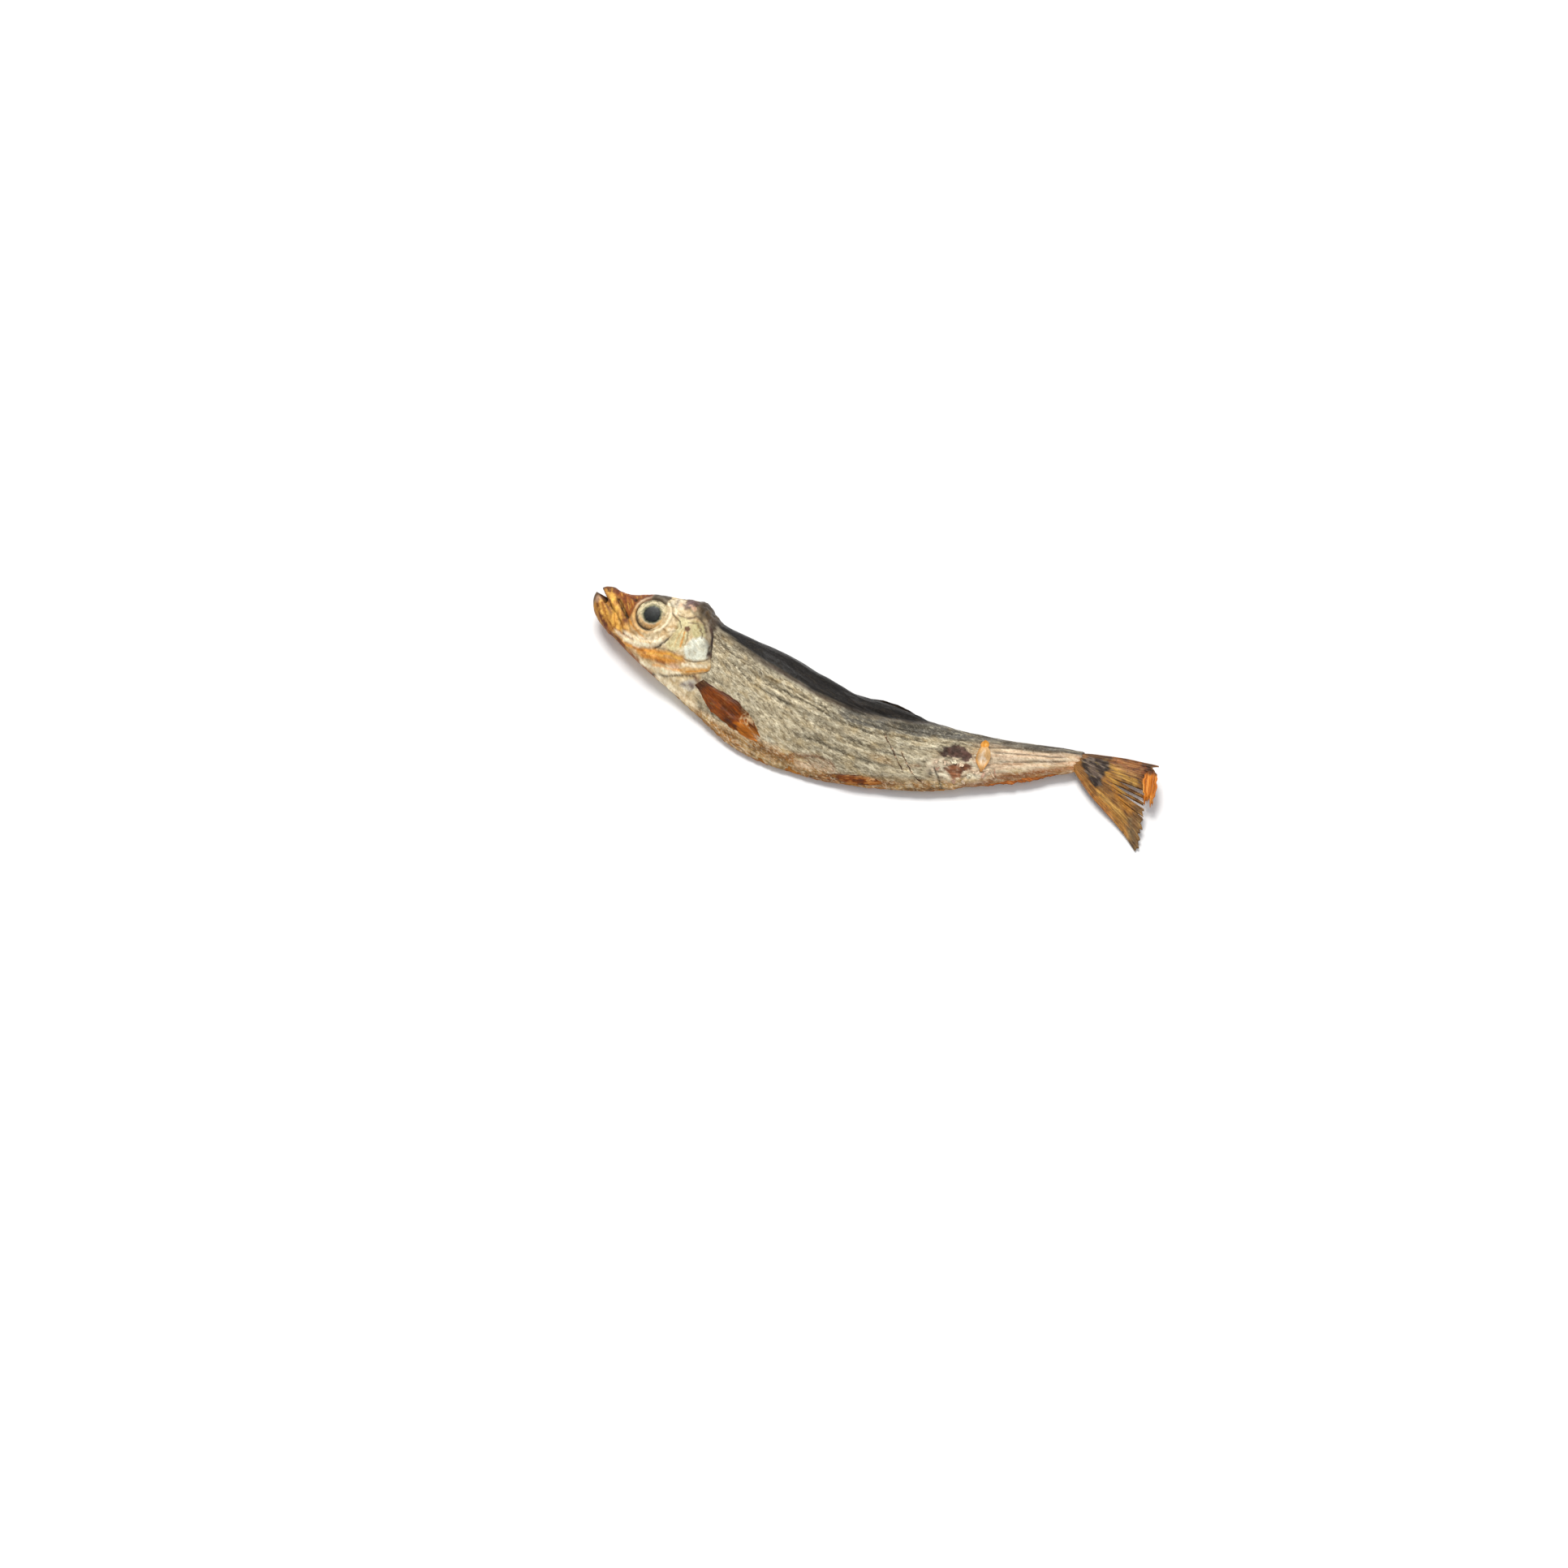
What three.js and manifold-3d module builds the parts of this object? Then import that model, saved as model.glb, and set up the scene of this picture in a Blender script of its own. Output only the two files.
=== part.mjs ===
// A small smoked and dried fish, whole, with its head, fins and tail. It lies on its right flank with
// the left flank up, head towards -X, tail towards +X and back towards +Y. Millimetres, +Z up, and the
// origin is at the middle of the bottom of its box.
//
// The skin is a tube round the backbone. A point on it is given by s, the distance along the backbone
// from the snout, by v, the height above the backbone towards the back, and by its side, +1 for the left
// flank and -1 for the right. Fins, eyes, gill covers and the flake lie on the skin by the same s and v.
import * as THREE from "three";
import { mergeVertices } from "three/addons/utils/BufferGeometryUtils.js";
import Module from "manifold-3d";

// Backbone: it runs straight, bends once towards the back, and runs straight again.
const BODY_LENGTH = 96; // snout to tail base
const HEAD_HEADING = 14; // degrees from +X towards the belly
const TAIL_HEADING = -23;
const BEND_START = 34;
const BEND_END = 82;
const SNOUT_X = -52.6543;
const SNOUT_Y = 8.1549;

// Lofting stations. Each row gives a size of the body at that distance from the snout. The lower jaw
// stands a millimetre in front of the snout.
const STATION = [-1, 0, 2, 5, 7.5, 10, 15, 18, 21, 28, 38, 50, 60, 70, 80, 90, 96];
const BACK_HEIGHT = [1.6, 1.8, 2.2, 2.6, 3.9, 5.3, 7.1, 7.4, 6.8, 7.5, 8.8, 8.3, 8.4, 6.3, 4.3, 2.7, 1.9];
const BELLY_DEPTH = [2.6, 3.0, 4.1, 5.3, 5.9, 6.5, 7.5, 7.9, 8.2, 9.4, 10.8, 9.0, 7.1, 5.9, 4.4, 2.8, 1.9];
const HALF_WIDTH = [1.4, 1.6, 2.0, 2.6, 3.1, 3.5, 4.0, 4.2, 4.2, 4.3, 4.4, 4.1, 3.5, 2.7, 2.0, 1.35, 1.0];
const WIDEST_AT = [-0.2, -0.2, 0, 0.4, 0.6, 0.6, 0.8, 1.0, 1.2, 1.9, 2.4, 2.3, 1.7, 1.0, 0.5, 0.2, 0];
const BACK_SQUARENESS = [0.8, 0.8, 0.75, 0.65, 0.6, 0.6, 0.65, 0.7, 0.8, 0.9, 0.9, 0.9, 0.9, 0.9, 0.9, 0.9, 1];
const KEEL_SHARPNESS = [0.9, 0.9, 0.9, 0.9, 0.95, 1.05, 1.1, 1.15, 1.25, 1.35, 1.45, 1.5, 1.5, 1.4, 1.2, 1.1, 1];
const ROLL = [12, 12, 12, 12, 12, 13, 14, 14, 15, 16, 16, 16, 15, 12, 9, 6, 5]; // degrees, back raised
const FLOOR_GAP = [2.5, 2.4, 2.1, 1.7, 1.4, 1.1, 0.6, 0.4, 0.25, 0.05, -0.3, -0.3, -0.1, 0.1, 0.3, 0.5, 0.6];

// Head. The mouth is a wedge cut across the jaws, and a groove from there to its corner.
const JAW_TIP = -1;
const NOSE_ROUND = 2.2;
const EYE = { s: 11.7, v: 0.8, radius: 2.75, bulge: 0.5, sunk: 0.25 };
const SOCKET = { radius: 3.1, depth: 0.25, rim: 0.2 };
const CHEEK = { radius: 5.7, rise: 0.2 };
const MOUTH = { tipV: 0.6, cornerS: 7.6, cornerV: -3.6, gap: 1.0, wedgeEnd: 2.4, groove: 0.3, lip: 0.2 };
const GILL_COVER = {
  rise: 0.5,
  outline: [
    [17.3, 0.6], [17.0, 3.4], [19.0, 5.0], [21.6, 4.9], [23.6, 3.5],
    [24.9, 1.2], [25.4, -1.4], [24.0, -3.7], [20.8, -5.1], [17.0, -5.0], [16.4, -2.6],
  ],
};

// Trunk.
const GROOVE = { height: 0.52, width: 0.9, depth: 0.3 };
const WRINKLE = { pitch: 2.3, height: 0.16 };
const SCAR = { s: 72.8, v: 0.2, radius: 2.6, depth: 0.35, rim: 0.2 };

// Fins and flakes, as thin solids.
const FIN_THICKNESS = 0.55;
const PECTORAL = { rootS: 25.6, rootV: -4.5, tipS: 39.9, tipV: -7.4, halfWidth: 1.6 };
const PELVIC = { rootS: 53.6, rootV: -7.2, tipS: 62.2, tipV: -6.0, halfWidth: 0.8 };
const DORSAL = { startS: 49, endS: 61, sweep: 6, height: 1.2 };
const ANAL = { startS: 75, endS: 90, sweep: 2.4, height: 1.2 };
const TAIL = { upAngle: -7, downAngle: 34.5, upLength: 14, midLength: 13.2, downLength: 16.6, root: 3.6 };
const TAIL_LIFT = { up: 3.4, middle: 1.9, down: 0.5 };
const FLAKE = { s: 77.5, topV: 3.1, bottomV: -2.5, halfWidth: 1.3, stand: 1.1, thickness: 0.45 };

// Rows and facets of the skin.
const AROUND = 34;
const NOSE_ROWS = [-1, -0.85, -0.5, 0, 0.6, 1.2];
const HEAD_END = 26;
const HEAD_STEP = 0.8;
const TRUNK_STEP = 1.9;
const END_ROWS = [95.2, 95.7, 96];

const ease = (t) => THREE.MathUtils.smoothstep(t, 0, 1);
const mix = THREE.MathUtils.lerp;
const bell = (t) => Math.exp(-t * t);

// A smooth curve through a row of station values: one cubic piece between each two stations.
function atStation(values, s) {
  const last = STATION.length - 1;
  const beyond = STATION.findIndex((x) => x > s);
  const i = beyond < 0 ? last - 1 : Math.max(0, beyond - 1);
  const slope = (j) => {
    const a = Math.max(0, j - 1);
    const b = Math.min(last, j + 1);
    return (values[b] - values[a]) / (STATION[b] - STATION[a]);
  };
  const h = STATION[i + 1] - STATION[i];
  const t = (s - STATION[i]) / h;
  const near = (1 + 2 * t) * (1 - t) ** 2;
  const bend = t * (1 - t) ** 2 * slope(i) + t * t * (t - 1) * slope(i + 1);
  return near * values[i] + (1 - near) * values[i + 1] + h * bend;
}

// Plan of the backbone: its heading is added up in small steps.
const BACKBONE_STEP = 0.1;
const heading = (s) =>
  THREE.MathUtils.degToRad(
    mix(HEAD_HEADING, TAIL_HEADING, ease((s - BEND_START) / (BEND_END - BEND_START))),
  );
const backbone = [new THREE.Vector2(SNOUT_X, SNOUT_Y)];
for (let k = 0; k * BACKBONE_STEP < BODY_LENGTH; k++) {
  const turn = (heading(k * BACKBONE_STEP) + heading((k + 1) * BACKBONE_STEP)) / 2;
  const step = new THREE.Vector2(Math.cos(turn), -Math.sin(turn)).multiplyScalar(BACKBONE_STEP);
  backbone.push(backbone[k].clone().add(step));
}
function planPoint(s) {
  const k = Math.max(0, Math.min(backbone.length - 2, Math.floor(s / BACKBONE_STEP)));
  return backbone[k].clone().lerp(backbone[k + 1], s / BACKBONE_STEP - k);
}

// The section at s: round over the back, widest a little above the backbone, and drawn down to a keel
// at the belly. u is across, to the left flank, and the nose and the tail end close as rounds.
function section(s, angle) {
  const widest = atStation(WIDEST_AT, s);
  const keel = atStation(KEEL_SHARPNESS, s);
  const square = atStation(BACK_SQUARENESS, s);
  const sine = Math.abs(Math.sin(angle));
  const cosine = Math.abs(Math.cos(angle));
  const upper = Math.sin(angle) >= 0;
  const reach = upper ? atStation(BACK_HEIGHT, s) - widest : atStation(BELLY_DEPTH, s) + widest;
  const endRound = BODY_LENGTH - END_ROWS[0];
  const nose = 1 - Math.min(1, (s - JAW_TIP) / NOSE_ROUND);
  const end = Math.max(0, 1 - (BODY_LENGTH - s) / endRound);
  const close = Math.sqrt(Math.max(0, 1 - nose * nose)) * Math.sqrt(Math.max(0, 1 - end * end));
  return new THREE.Vector2(
    close * atStation(HALF_WIDTH, s) * Math.sign(Math.cos(angle)) * cosine ** (upper ? square : keel),
    widest + close * reach * (upper ? sine : -(sine ** keel)),
  );
}

// The way out of the skin, within the section.
function outward(s, angle) {
  const small = 0.02;
  const along = section(s, angle + small).sub(section(s, angle - small));
  return new THREE.Vector2(along.y, -along.x).normalize();
}

// The angle round the section at which the skin is v above the backbone, on one side.
function angleAt(s, v, side) {
  const widest = atStation(WIDEST_AT, s);
  const upper = v >= widest;
  const reach = upper ? atStation(BACK_HEIGHT, s) - widest : atStation(BELLY_DEPTH, s) + widest;
  const share = Math.min(1, Math.abs(v - widest) / reach);
  const sine = upper ? share : -(share ** (1 / atStation(KEEL_SHARPNESS, s)));
  return Math.atan2(sine, side * Math.sqrt(1 - sine * sine));
}

// Height of the backbone, worked out once every half millimetre: the section's lowest point stands
// FLOOR_GAP above the floor.
const HEIGHT_STEP = 0.5;
const heights = [];
for (let s = JAW_TIP; s <= BODY_LENGTH; s += HEIGHT_STEP) {
  const roll = THREE.MathUtils.degToRad(atStation(ROLL, s));
  const inside = THREE.MathUtils.clamp(s, JAW_TIP + NOSE_ROUND, END_ROWS[0]);
  let lowest = Infinity;
  for (let k = 0; k < 72; k++) {
    const p = section(inside, (k / 72) * 2 * Math.PI);
    lowest = Math.min(lowest, p.y * Math.sin(roll) + p.x * Math.cos(roll));
  }
  heights.push(atStation(FLOOR_GAP, s) - lowest);
}
function backboneHeight(s) {
  const steps = (s - JAW_TIP) / HEIGHT_STEP;
  const k = Math.min(heights.length - 2, Math.floor(steps));
  return mix(heights[k], heights[k + 1], steps - k);
}

// A point u across and v above the backbone at s, in the part's frame.
function place(s, u, v) {
  const inside = THREE.MathUtils.clamp(s, JAW_TIP, BODY_LENGTH);
  const turn = heading(s);
  const roll = THREE.MathUtils.degToRad(atStation(ROLL, inside));
  const plan = planPoint(s);
  const across = v * Math.cos(roll) - u * Math.sin(roll);
  return new THREE.Vector3(
    plan.x + across * Math.sin(turn),
    plan.y + across * Math.cos(turn),
    backboneHeight(inside) + v * Math.sin(roll) + u * Math.cos(roll),
  );
}

// The line between the jaws, from the tip of the lower jaw to the corner of the mouth.
const mouthLine = (s) =>
  MOUTH.tipV + ((s - JAW_TIP) * (MOUTH.cornerV - MOUTH.tipV)) / (MOUTH.cornerS - JAW_TIP);

// Relief of the skin, in millimetres outwards: eye socket, cheek, mouth, the groove under the back, the
// long wrinkles of drying, and the scar on the left flank.
function relief(s, v, side) {
  const eyeAway = Math.hypot(s - EYE.s, v - EYE.v);
  const socket =
    -SOCKET.depth * (1 - ease((eyeAway - SOCKET.radius + 0.8) / 1.2)) +
    SOCKET.rim * bell((eyeAway - SOCKET.radius - 0.5) / 0.8);
  const behindOrBelow = ease((s - EYE.s - (v - EYE.v) + 1) / 3);
  const cheek = CHEEK.rise * behindOrBelow * (1 - ease((eyeAway - CHEEK.radius + 0.6) / 1.2));
  const aboveMouth = v - mouthLine(s);
  const lips = MOUTH.lip * bell((aboveMouth - 1.3) / 0.8) - MOUTH.groove * bell(aboveMouth / 0.6);
  const mouth = lips * (1 - ease((s - MOUTH.cornerS + 1) / 2));
  const trunk = ease((s - 25) / 8) * ease((94 - s) / 14);
  const backHeight = atStation(BACK_HEIGHT, Math.min(s, BODY_LENGTH));
  const groove = -GROOVE.depth * bell((v - GROOVE.height * backHeight) / GROOVE.width);
  const wander = 1.6 * Math.sin(s / 4.1) + 0.9 * Math.sin(s / 1.7 + v);
  const strength = 0.6 + 0.4 * Math.sin(s / 6.5 + 0.7 * v + side);
  const wrinkle = WRINKLE.height * strength * Math.sin((2 * Math.PI * v) / WRINKLE.pitch + wander);
  const scarAway = Math.hypot((s - SCAR.s) / SCAR.radius, (v - SCAR.v) / (0.7 * SCAR.radius));
  const pit = -SCAR.depth * (1 - ease((scarAway - 0.7) / 0.4)) + SCAR.rim * bell((scarAway - 1.25) / 0.25);
  return socket + cheek + mouth + trunk * (groove + wrinkle) + (side > 0 ? pit : 0);
}

// A point on the skin at s and v on one side, or that far outside it.
function onSkin(s, v, side, outside = 0) {
  const angle = angleAt(s, v, side);
  const p = section(s, angle).addScaledVector(outward(s, angle), relief(s, v, side) + outside);
  return place(s, p.x, p.y);
}

const wasm = await Module();
wasm.setup();

// Sends every vertex of a closed three.js geometry to its own place, and makes a solid of the result.
function solid(geometry, at) {
  geometry.deleteAttribute("normal");
  geometry.deleteAttribute("uv");
  const position = geometry.attributes.position;
  const p = new THREE.Vector3();
  for (let i = 0; i < position.count; i++) {
    const to = at(p.fromBufferAttribute(position, i));
    position.setXYZ(i, to.x, to.y, to.z);
  }
  const merged = mergeVertices(geometry, 1e-4);
  const triVerts = new Uint32Array(merged.index.array);
  const make = () =>
    new wasm.Manifold(
      new wasm.Mesh({ numProp: 3, vertProperties: merged.attributes.position.array, triVerts }),
    );
  const made = make();
  if (made.volume() > 0) return made;
  triVerts.reverse(); // the places mirror the geometry, so its faces are turned round
  return make();
}

// A tube whose rows and columns are a sphere's: row 0 and the last row close to points.
function tube(columns, rows, at) {
  return solid(new THREE.SphereGeometry(1, columns, rows), (p) => {
    const row = Math.round((Math.acos(THREE.MathUtils.clamp(p.y, -1, 1)) / Math.PI) * rows);
    return at(row, Math.atan2(p.z, -p.x));
  });
}

// A thin sheet: q runs across from -0.5 to 0.5, r from 0 at its root to 1 at its free edge, and face is
// -0.5 or 0.5 on its two faces.
function sheet(columns, rows, at) {
  return solid(new THREE.BoxGeometry(1, 1, 1, columns, rows, 1), (p) => at(p.x, p.y + 0.5, p.z));
}

function makeSkin() {
  const rows = [...NOSE_ROWS];
  const headStart = JAW_TIP + NOSE_ROUND;
  const headRows = Math.round((HEAD_END - headStart) / HEAD_STEP);
  for (let k = 1; k <= headRows; k++) rows.push(mix(headStart, HEAD_END, k / headRows));
  const trunkRows = Math.round((END_ROWS[0] - HEAD_END) / TRUNK_STEP);
  for (let k = 1; k < trunkRows; k++) rows.push(mix(HEAD_END, END_ROWS[0], k / trunkRows));
  rows.push(...END_ROWS);
  return tube(AROUND, rows.length - 1, (row, turn) => {
    const s = rows[row];
    const angle = turn - 0.25 * Math.sin(2 * turn); // spreads the facets evenly round a deep section
    const p = section(s, angle);
    const closed = s <= JAW_TIP || s >= BODY_LENGTH;
    const away = closed ? 0 : relief(s, p.y, Math.sign(Math.cos(angle)));
    p.addScaledVector(away ? outward(s, angle) : p, away);
    return place(s, p.x, p.y);
  });
}

// The wedge between the jaws, open at the front.
function makeMouthWedge() {
  return sheet(2, 6, (q, r, face) => {
    const s = mix(MOUTH.wedgeEnd, JAW_TIP - 1, r);
    return place(s, 8 * q, mouthLine(s) + face * (0.05 + MOUTH.gap * r));
  });
}

// A gill cover: a thin plate with its outline on the skin, highest in the middle of its rear edge.
function makeGillCover(side) {
  const corners = GILL_COVER.outline.map(([s, v]) => new THREE.Vector3(s, v, 0));
  const outline = new THREE.CatmullRomCurve3(corners, true, "catmullrom");
  const middle = corners
    .reduce((sum, p) => sum.add(p), new THREE.Vector3())
    .divideScalar(corners.length);
  const rows = 10;
  return tube(28, rows, (row, turn) => {
    const polar = (row / rows) * Math.PI;
    const reach = Math.sin(polar) ** 0.7;
    const p = outline.getPoint(turn / (2 * Math.PI) + 0.5).sub(middle).multiplyScalar(reach).add(middle);
    const top = GILL_COVER.rise * (0.35 + 0.65 * ease((p.x - 16.4) / 7)) * Math.sqrt(Math.cos(polar));
    return onSkin(p.x, p.y, side, row * 2 <= rows ? top : -0.5 * Math.sqrt(-Math.cos(polar)));
  });
}

// An eyeball: a flat dome set in its socket. It faces midway between straight out of the fish and
// straight out of the skin.
function makeEye(side) {
  const rows = 8;
  const middle = onSkin(EYE.s, EYE.v, side, SOCKET.depth - EYE.sunk);
  const fromSkin = onSkin(EYE.s, EYE.v, side, 5).sub(middle).normalize();
  const fromFish = place(EYE.s, side, 0).sub(place(EYE.s, 0, 0)).normalize();
  const faces = fromSkin.add(fromFish).normalize();
  const up = place(EYE.s, 0, 1).sub(place(EYE.s, 0, 0)).cross(faces).normalize();
  const along = faces.clone().cross(up);
  return tube(16, rows, (row, turn) => {
    const polar = (row / rows) * Math.PI;
    return middle
      .clone()
      .addScaledVector(along, EYE.radius * Math.sin(polar) * Math.cos(turn))
      .addScaledVector(up, EYE.radius * Math.sin(polar) * Math.sin(turn))
      .addScaledVector(faces, EYE.bulge * Math.cos(polar));
  });
}

// A paired fin folded back against the flank: narrow at its root, widest at a third, round at its tip.
function makeFlankFin(fin, side) {
  return sheet(5, 9, (q, r, face) => {
    const width = fin.halfWidth * (0.5 + 0.5 * ease(r / 0.35)) * Math.sqrt(1 - 0.96 * r ** 4);
    const s = mix(fin.rootS, fin.tipS, r) - 1.2 * q * width;
    const v = mix(fin.rootV, fin.tipV, r) - 2 * q * width;
    return onSkin(s, v, side, mix(-0.35, 0.3, face + 0.5));
  });
}

// A fin of the midline folded back along it: its free edge is swept towards the tail.
function makeMidlineFin(fin, back) {
  return sheet(10, 3, (q, r, face) => {
    const s = mix(fin.startS, fin.endS, q + 0.5) + fin.sweep * r;
    const edge = back ? atStation(BACK_HEIGHT, s) : -atStation(BELLY_DEPTH, s);
    const shape = Math.sqrt(Math.max(0, 1 - (2 * q) ** 2 * 0.9));
    const ragged = 1 + 0.2 * Math.sin(19 * q + 1);
    const rise = (fin.height * r * shape * ragged - 0.6) * (back ? 1 : -1);
    return place(s, face * FIN_THICKNESS * (1.6 - 0.6 * r), edge + rise);
  });
}

// The tail fin: rays spread from the tail base, longest at the two lobes, with a torn end.
function makeTail() {
  const rootS = BODY_LENGTH - 2;
  const root = place(rootS, 0, 0);
  return sheet(28, 8, (q, r, face) => {
    const angle = THREE.MathUtils.degToRad(mix(TAIL.upAngle, TAIL.downAngle, q + 0.5));
    const lobe = Math.abs(2 * q) ** 1.5;
    const torn = 0.7 * Math.abs(Math.sin(31 * q + 0.8)) * r;
    const length = mix(TAIL.midLength, q < 0 ? TAIL.upLength : TAIL.downLength, lobe) + 2 - torn;
    const across = -q * TAIL.root;
    const lift = mix(TAIL_LIFT.middle, q < 0 ? TAIL_LIFT.up : TAIL_LIFT.down, lobe);
    const thick = mix(2, FIN_THICKNESS, ease(r * 2.5));
    return new THREE.Vector3(
      root.x + across * Math.sin(heading(rootS)) + r * length * Math.cos(angle),
      root.y + across * Math.cos(heading(rootS)) - r * length * Math.sin(angle),
      mix(root.z, lift, ease(r)) + 0.18 * r * Math.sin(44 * q) + face * thick,
    );
  });
}

// A curled flake of dried skin that stands off the left flank.
function makeFlake() {
  return sheet(3, 6, (q, r, face) => {
    const v = mix(FLAKE.bottomV, FLAKE.topV, r);
    const s = FLAKE.s + 2 * q * FLAKE.halfWidth * (0.4 + 0.6 * Math.sin(Math.PI * r)) + 0.8 * r;
    const curl = FLAKE.stand * (ease(r) ** 2 + (2 * q) ** 2 * r * 0.4);
    return onSkin(s, v, 1, curl - 0.1 + face * FLAKE.thickness);
  });
}

const SIDES = [1, -1];
const pieces = [makeMidlineFin(DORSAL, true), makeMidlineFin(ANAL, false), makeTail(), makeFlake()];
for (const side of SIDES) {
  pieces.push(makeEye(side), makeGillCover(side), makeFlankFin(PECTORAL, side), makeFlankFin(PELVIC, side));
}
const skin = makeSkin().subtract(makeMouthWedge());
let whole = pieces.reduce((sum, piece) => sum.add(piece), skin);

// The underside is flat where it lies on the floor.
const FLOOR_BLOCK = 400;
whole = whole.subtract(
  solid(new THREE.BoxGeometry(FLOOR_BLOCK, FLOOR_BLOCK, FLOOR_BLOCK), (p) =>
    p.clone().add(new THREE.Vector3(0, 0, -FLOOR_BLOCK / 2)),
  ),
);
const largest = whole.decompose().sort((a, b) => b.volume() - a.volume())[0];

const mesh = largest.getMesh();
const geometry = new THREE.BufferGeometry();
geometry.setAttribute("position", new THREE.BufferAttribute(mesh.vertProperties, 3));
geometry.setIndex(new THREE.BufferAttribute(mesh.triVerts, 1));
geometry.computeVertexNormals();

const smokedSkin = new THREE.MeshStandardMaterial({ color: 0xa3957a, roughness: 0.42, metalness: 0.15 });
const fish = new THREE.Mesh(geometry, smokedSkin);
fish.name = "fish";

const part = new THREE.Group();
part.add(fish);
export default part;
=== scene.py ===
from itertools import product
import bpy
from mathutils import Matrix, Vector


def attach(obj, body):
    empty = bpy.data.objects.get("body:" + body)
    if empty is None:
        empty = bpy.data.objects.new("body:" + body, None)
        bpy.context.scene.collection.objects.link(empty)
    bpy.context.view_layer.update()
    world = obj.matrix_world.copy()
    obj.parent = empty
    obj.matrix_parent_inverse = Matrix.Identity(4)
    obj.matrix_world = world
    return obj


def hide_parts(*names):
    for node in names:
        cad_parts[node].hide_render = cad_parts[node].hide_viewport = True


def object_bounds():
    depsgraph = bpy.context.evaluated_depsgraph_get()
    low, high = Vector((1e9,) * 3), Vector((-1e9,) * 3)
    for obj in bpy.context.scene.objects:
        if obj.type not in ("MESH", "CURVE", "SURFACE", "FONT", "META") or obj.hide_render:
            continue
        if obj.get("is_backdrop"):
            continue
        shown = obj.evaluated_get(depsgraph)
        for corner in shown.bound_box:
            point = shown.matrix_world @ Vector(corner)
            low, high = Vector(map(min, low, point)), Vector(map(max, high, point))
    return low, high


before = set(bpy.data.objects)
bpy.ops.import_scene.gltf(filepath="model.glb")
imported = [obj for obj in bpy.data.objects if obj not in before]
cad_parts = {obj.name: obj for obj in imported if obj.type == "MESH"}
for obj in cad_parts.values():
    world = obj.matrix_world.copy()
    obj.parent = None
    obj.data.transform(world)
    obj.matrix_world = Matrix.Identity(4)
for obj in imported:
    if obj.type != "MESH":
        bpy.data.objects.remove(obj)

from types import SimpleNamespace

import bpy
import numpy as np
from bpy.props import FloatProperty, FloatVectorProperty, PointerProperty
from mathutils import Matrix, Vector

CAD_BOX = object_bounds()

bl_info = {
    "name": "Smoked Fish",
    "version": (1, 0, 0),
    "blender": (4, 5, 0),
    "location": "View3D > Sidebar > Smoked Fish",
    "description": "Makes the skin, eyes, gill covers, fins and loose flakes of a small smoked fish",
    "category": "Add Mesh",
}

# The fish is worked out in millimetres along its own body: s is the distance along the backbone from the
# snout, v the height above the backbone towards the back, u the distance across towards the left flank,
# and side is 1 for the left flank and -1 for the right.
MM = 0.001
SIDES = {"left": 1, "right": -1}

# ---------------------------------------------------------------- the body, as in the solid
BODY_LENGTH = 96.0
HEAD_HEADING, TAIL_HEADING = 14.0, -23.0  # degrees from +X towards the belly
BEND_START, BEND_END = 34.0, 82.0
SNOUT = np.array([-52.6543, 8.1549])
STATION = np.array([-1, 0, 2, 5, 7.5, 10, 15, 18, 21, 28, 38, 50, 60, 70, 80, 90, 96], float)
BACK_HEIGHT = [1.6, 1.8, 2.2, 2.6, 3.9, 5.3, 7.1, 7.4, 6.8, 7.5, 8.8, 8.3, 8.4, 6.3, 4.3, 2.7, 1.9]
BELLY_DEPTH = [2.6, 3.0, 4.1, 5.3, 5.9, 6.5, 7.5, 7.9, 8.2, 9.4, 10.8, 9.0, 7.1, 5.9, 4.4, 2.8, 1.9]
HALF_WIDTH = [1.4, 1.6, 2.0, 2.6, 3.1, 3.5, 4.0, 4.2, 4.2, 4.3, 4.4, 4.1, 3.5, 2.7, 2.0, 1.35, 1.0]
WIDEST_AT = [-0.2, -0.2, 0, 0.4, 0.6, 0.6, 0.8, 1.0, 1.2, 1.9, 2.4, 2.3, 1.7, 1.0, 0.5, 0.2, 0]
BACK_SQUARENESS = [0.8, 0.8, 0.75, 0.65, 0.6, 0.6, 0.65, 0.7, 0.8, 0.9, 0.9, 0.9, 0.9, 0.9, 0.9, 0.9, 1]
KEEL_SHARPNESS = [0.9, 0.9, 0.9, 0.9, 0.95, 1.05, 1.1, 1.15, 1.25, 1.35, 1.45, 1.5, 1.5, 1.4, 1.2, 1.1, 1]
ROLL = [12, 12, 12, 12, 12, 13, 14, 14, 15, 16, 16, 16, 15, 12, 9, 6, 5]
FLOOR_GAP = [2.5, 2.4, 2.1, 1.7, 1.4, 1.1, 0.6, 0.4, 0.25, 0.05, -0.3, -0.3, -0.1, 0.1, 0.3, 0.5, 0.6]
JAW_TIP, NOSE_ROUND, END_START = -1.0, 2.2, 95.2

EYE_S, EYE_V, EYE_BULGE, EYE_SUNK = 11.7, 0.8, 0.5, 0.25
NOSTRIL_S, NOSTRIL_V = 7.3, 1.6
SOCKET_RADIUS, SOCKET_DEPTH = 3.1, 0.25
CHEEK_RADIUS, CHEEK_RISE = 5.7, 0.2
MOUTH_TIP_V, MOUTH_CORNER_S, MOUTH_CORNER_V, MOUTH_END, MOUTH_GAP = 0.6, 7.6, -3.6, 2.4, 0.6
GILL_OUTLINE = [(17.4, 0.6), (16.9, 3.2), (18.3, 5.0), (21.2, 5.1), (23.2, 3.9), (24.7, 1.7), (25.7, -0.3),
                (26.5, -2.1), (24.4, -3.9), (22.5, -5.1), (20.2, -6.1), (17.4, -6.4), (16.1, -4.8),
                (16.8, -2.2)]
EYE_RING_RADIUS = 2.9
GILL_RISE = 0.5
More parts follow.
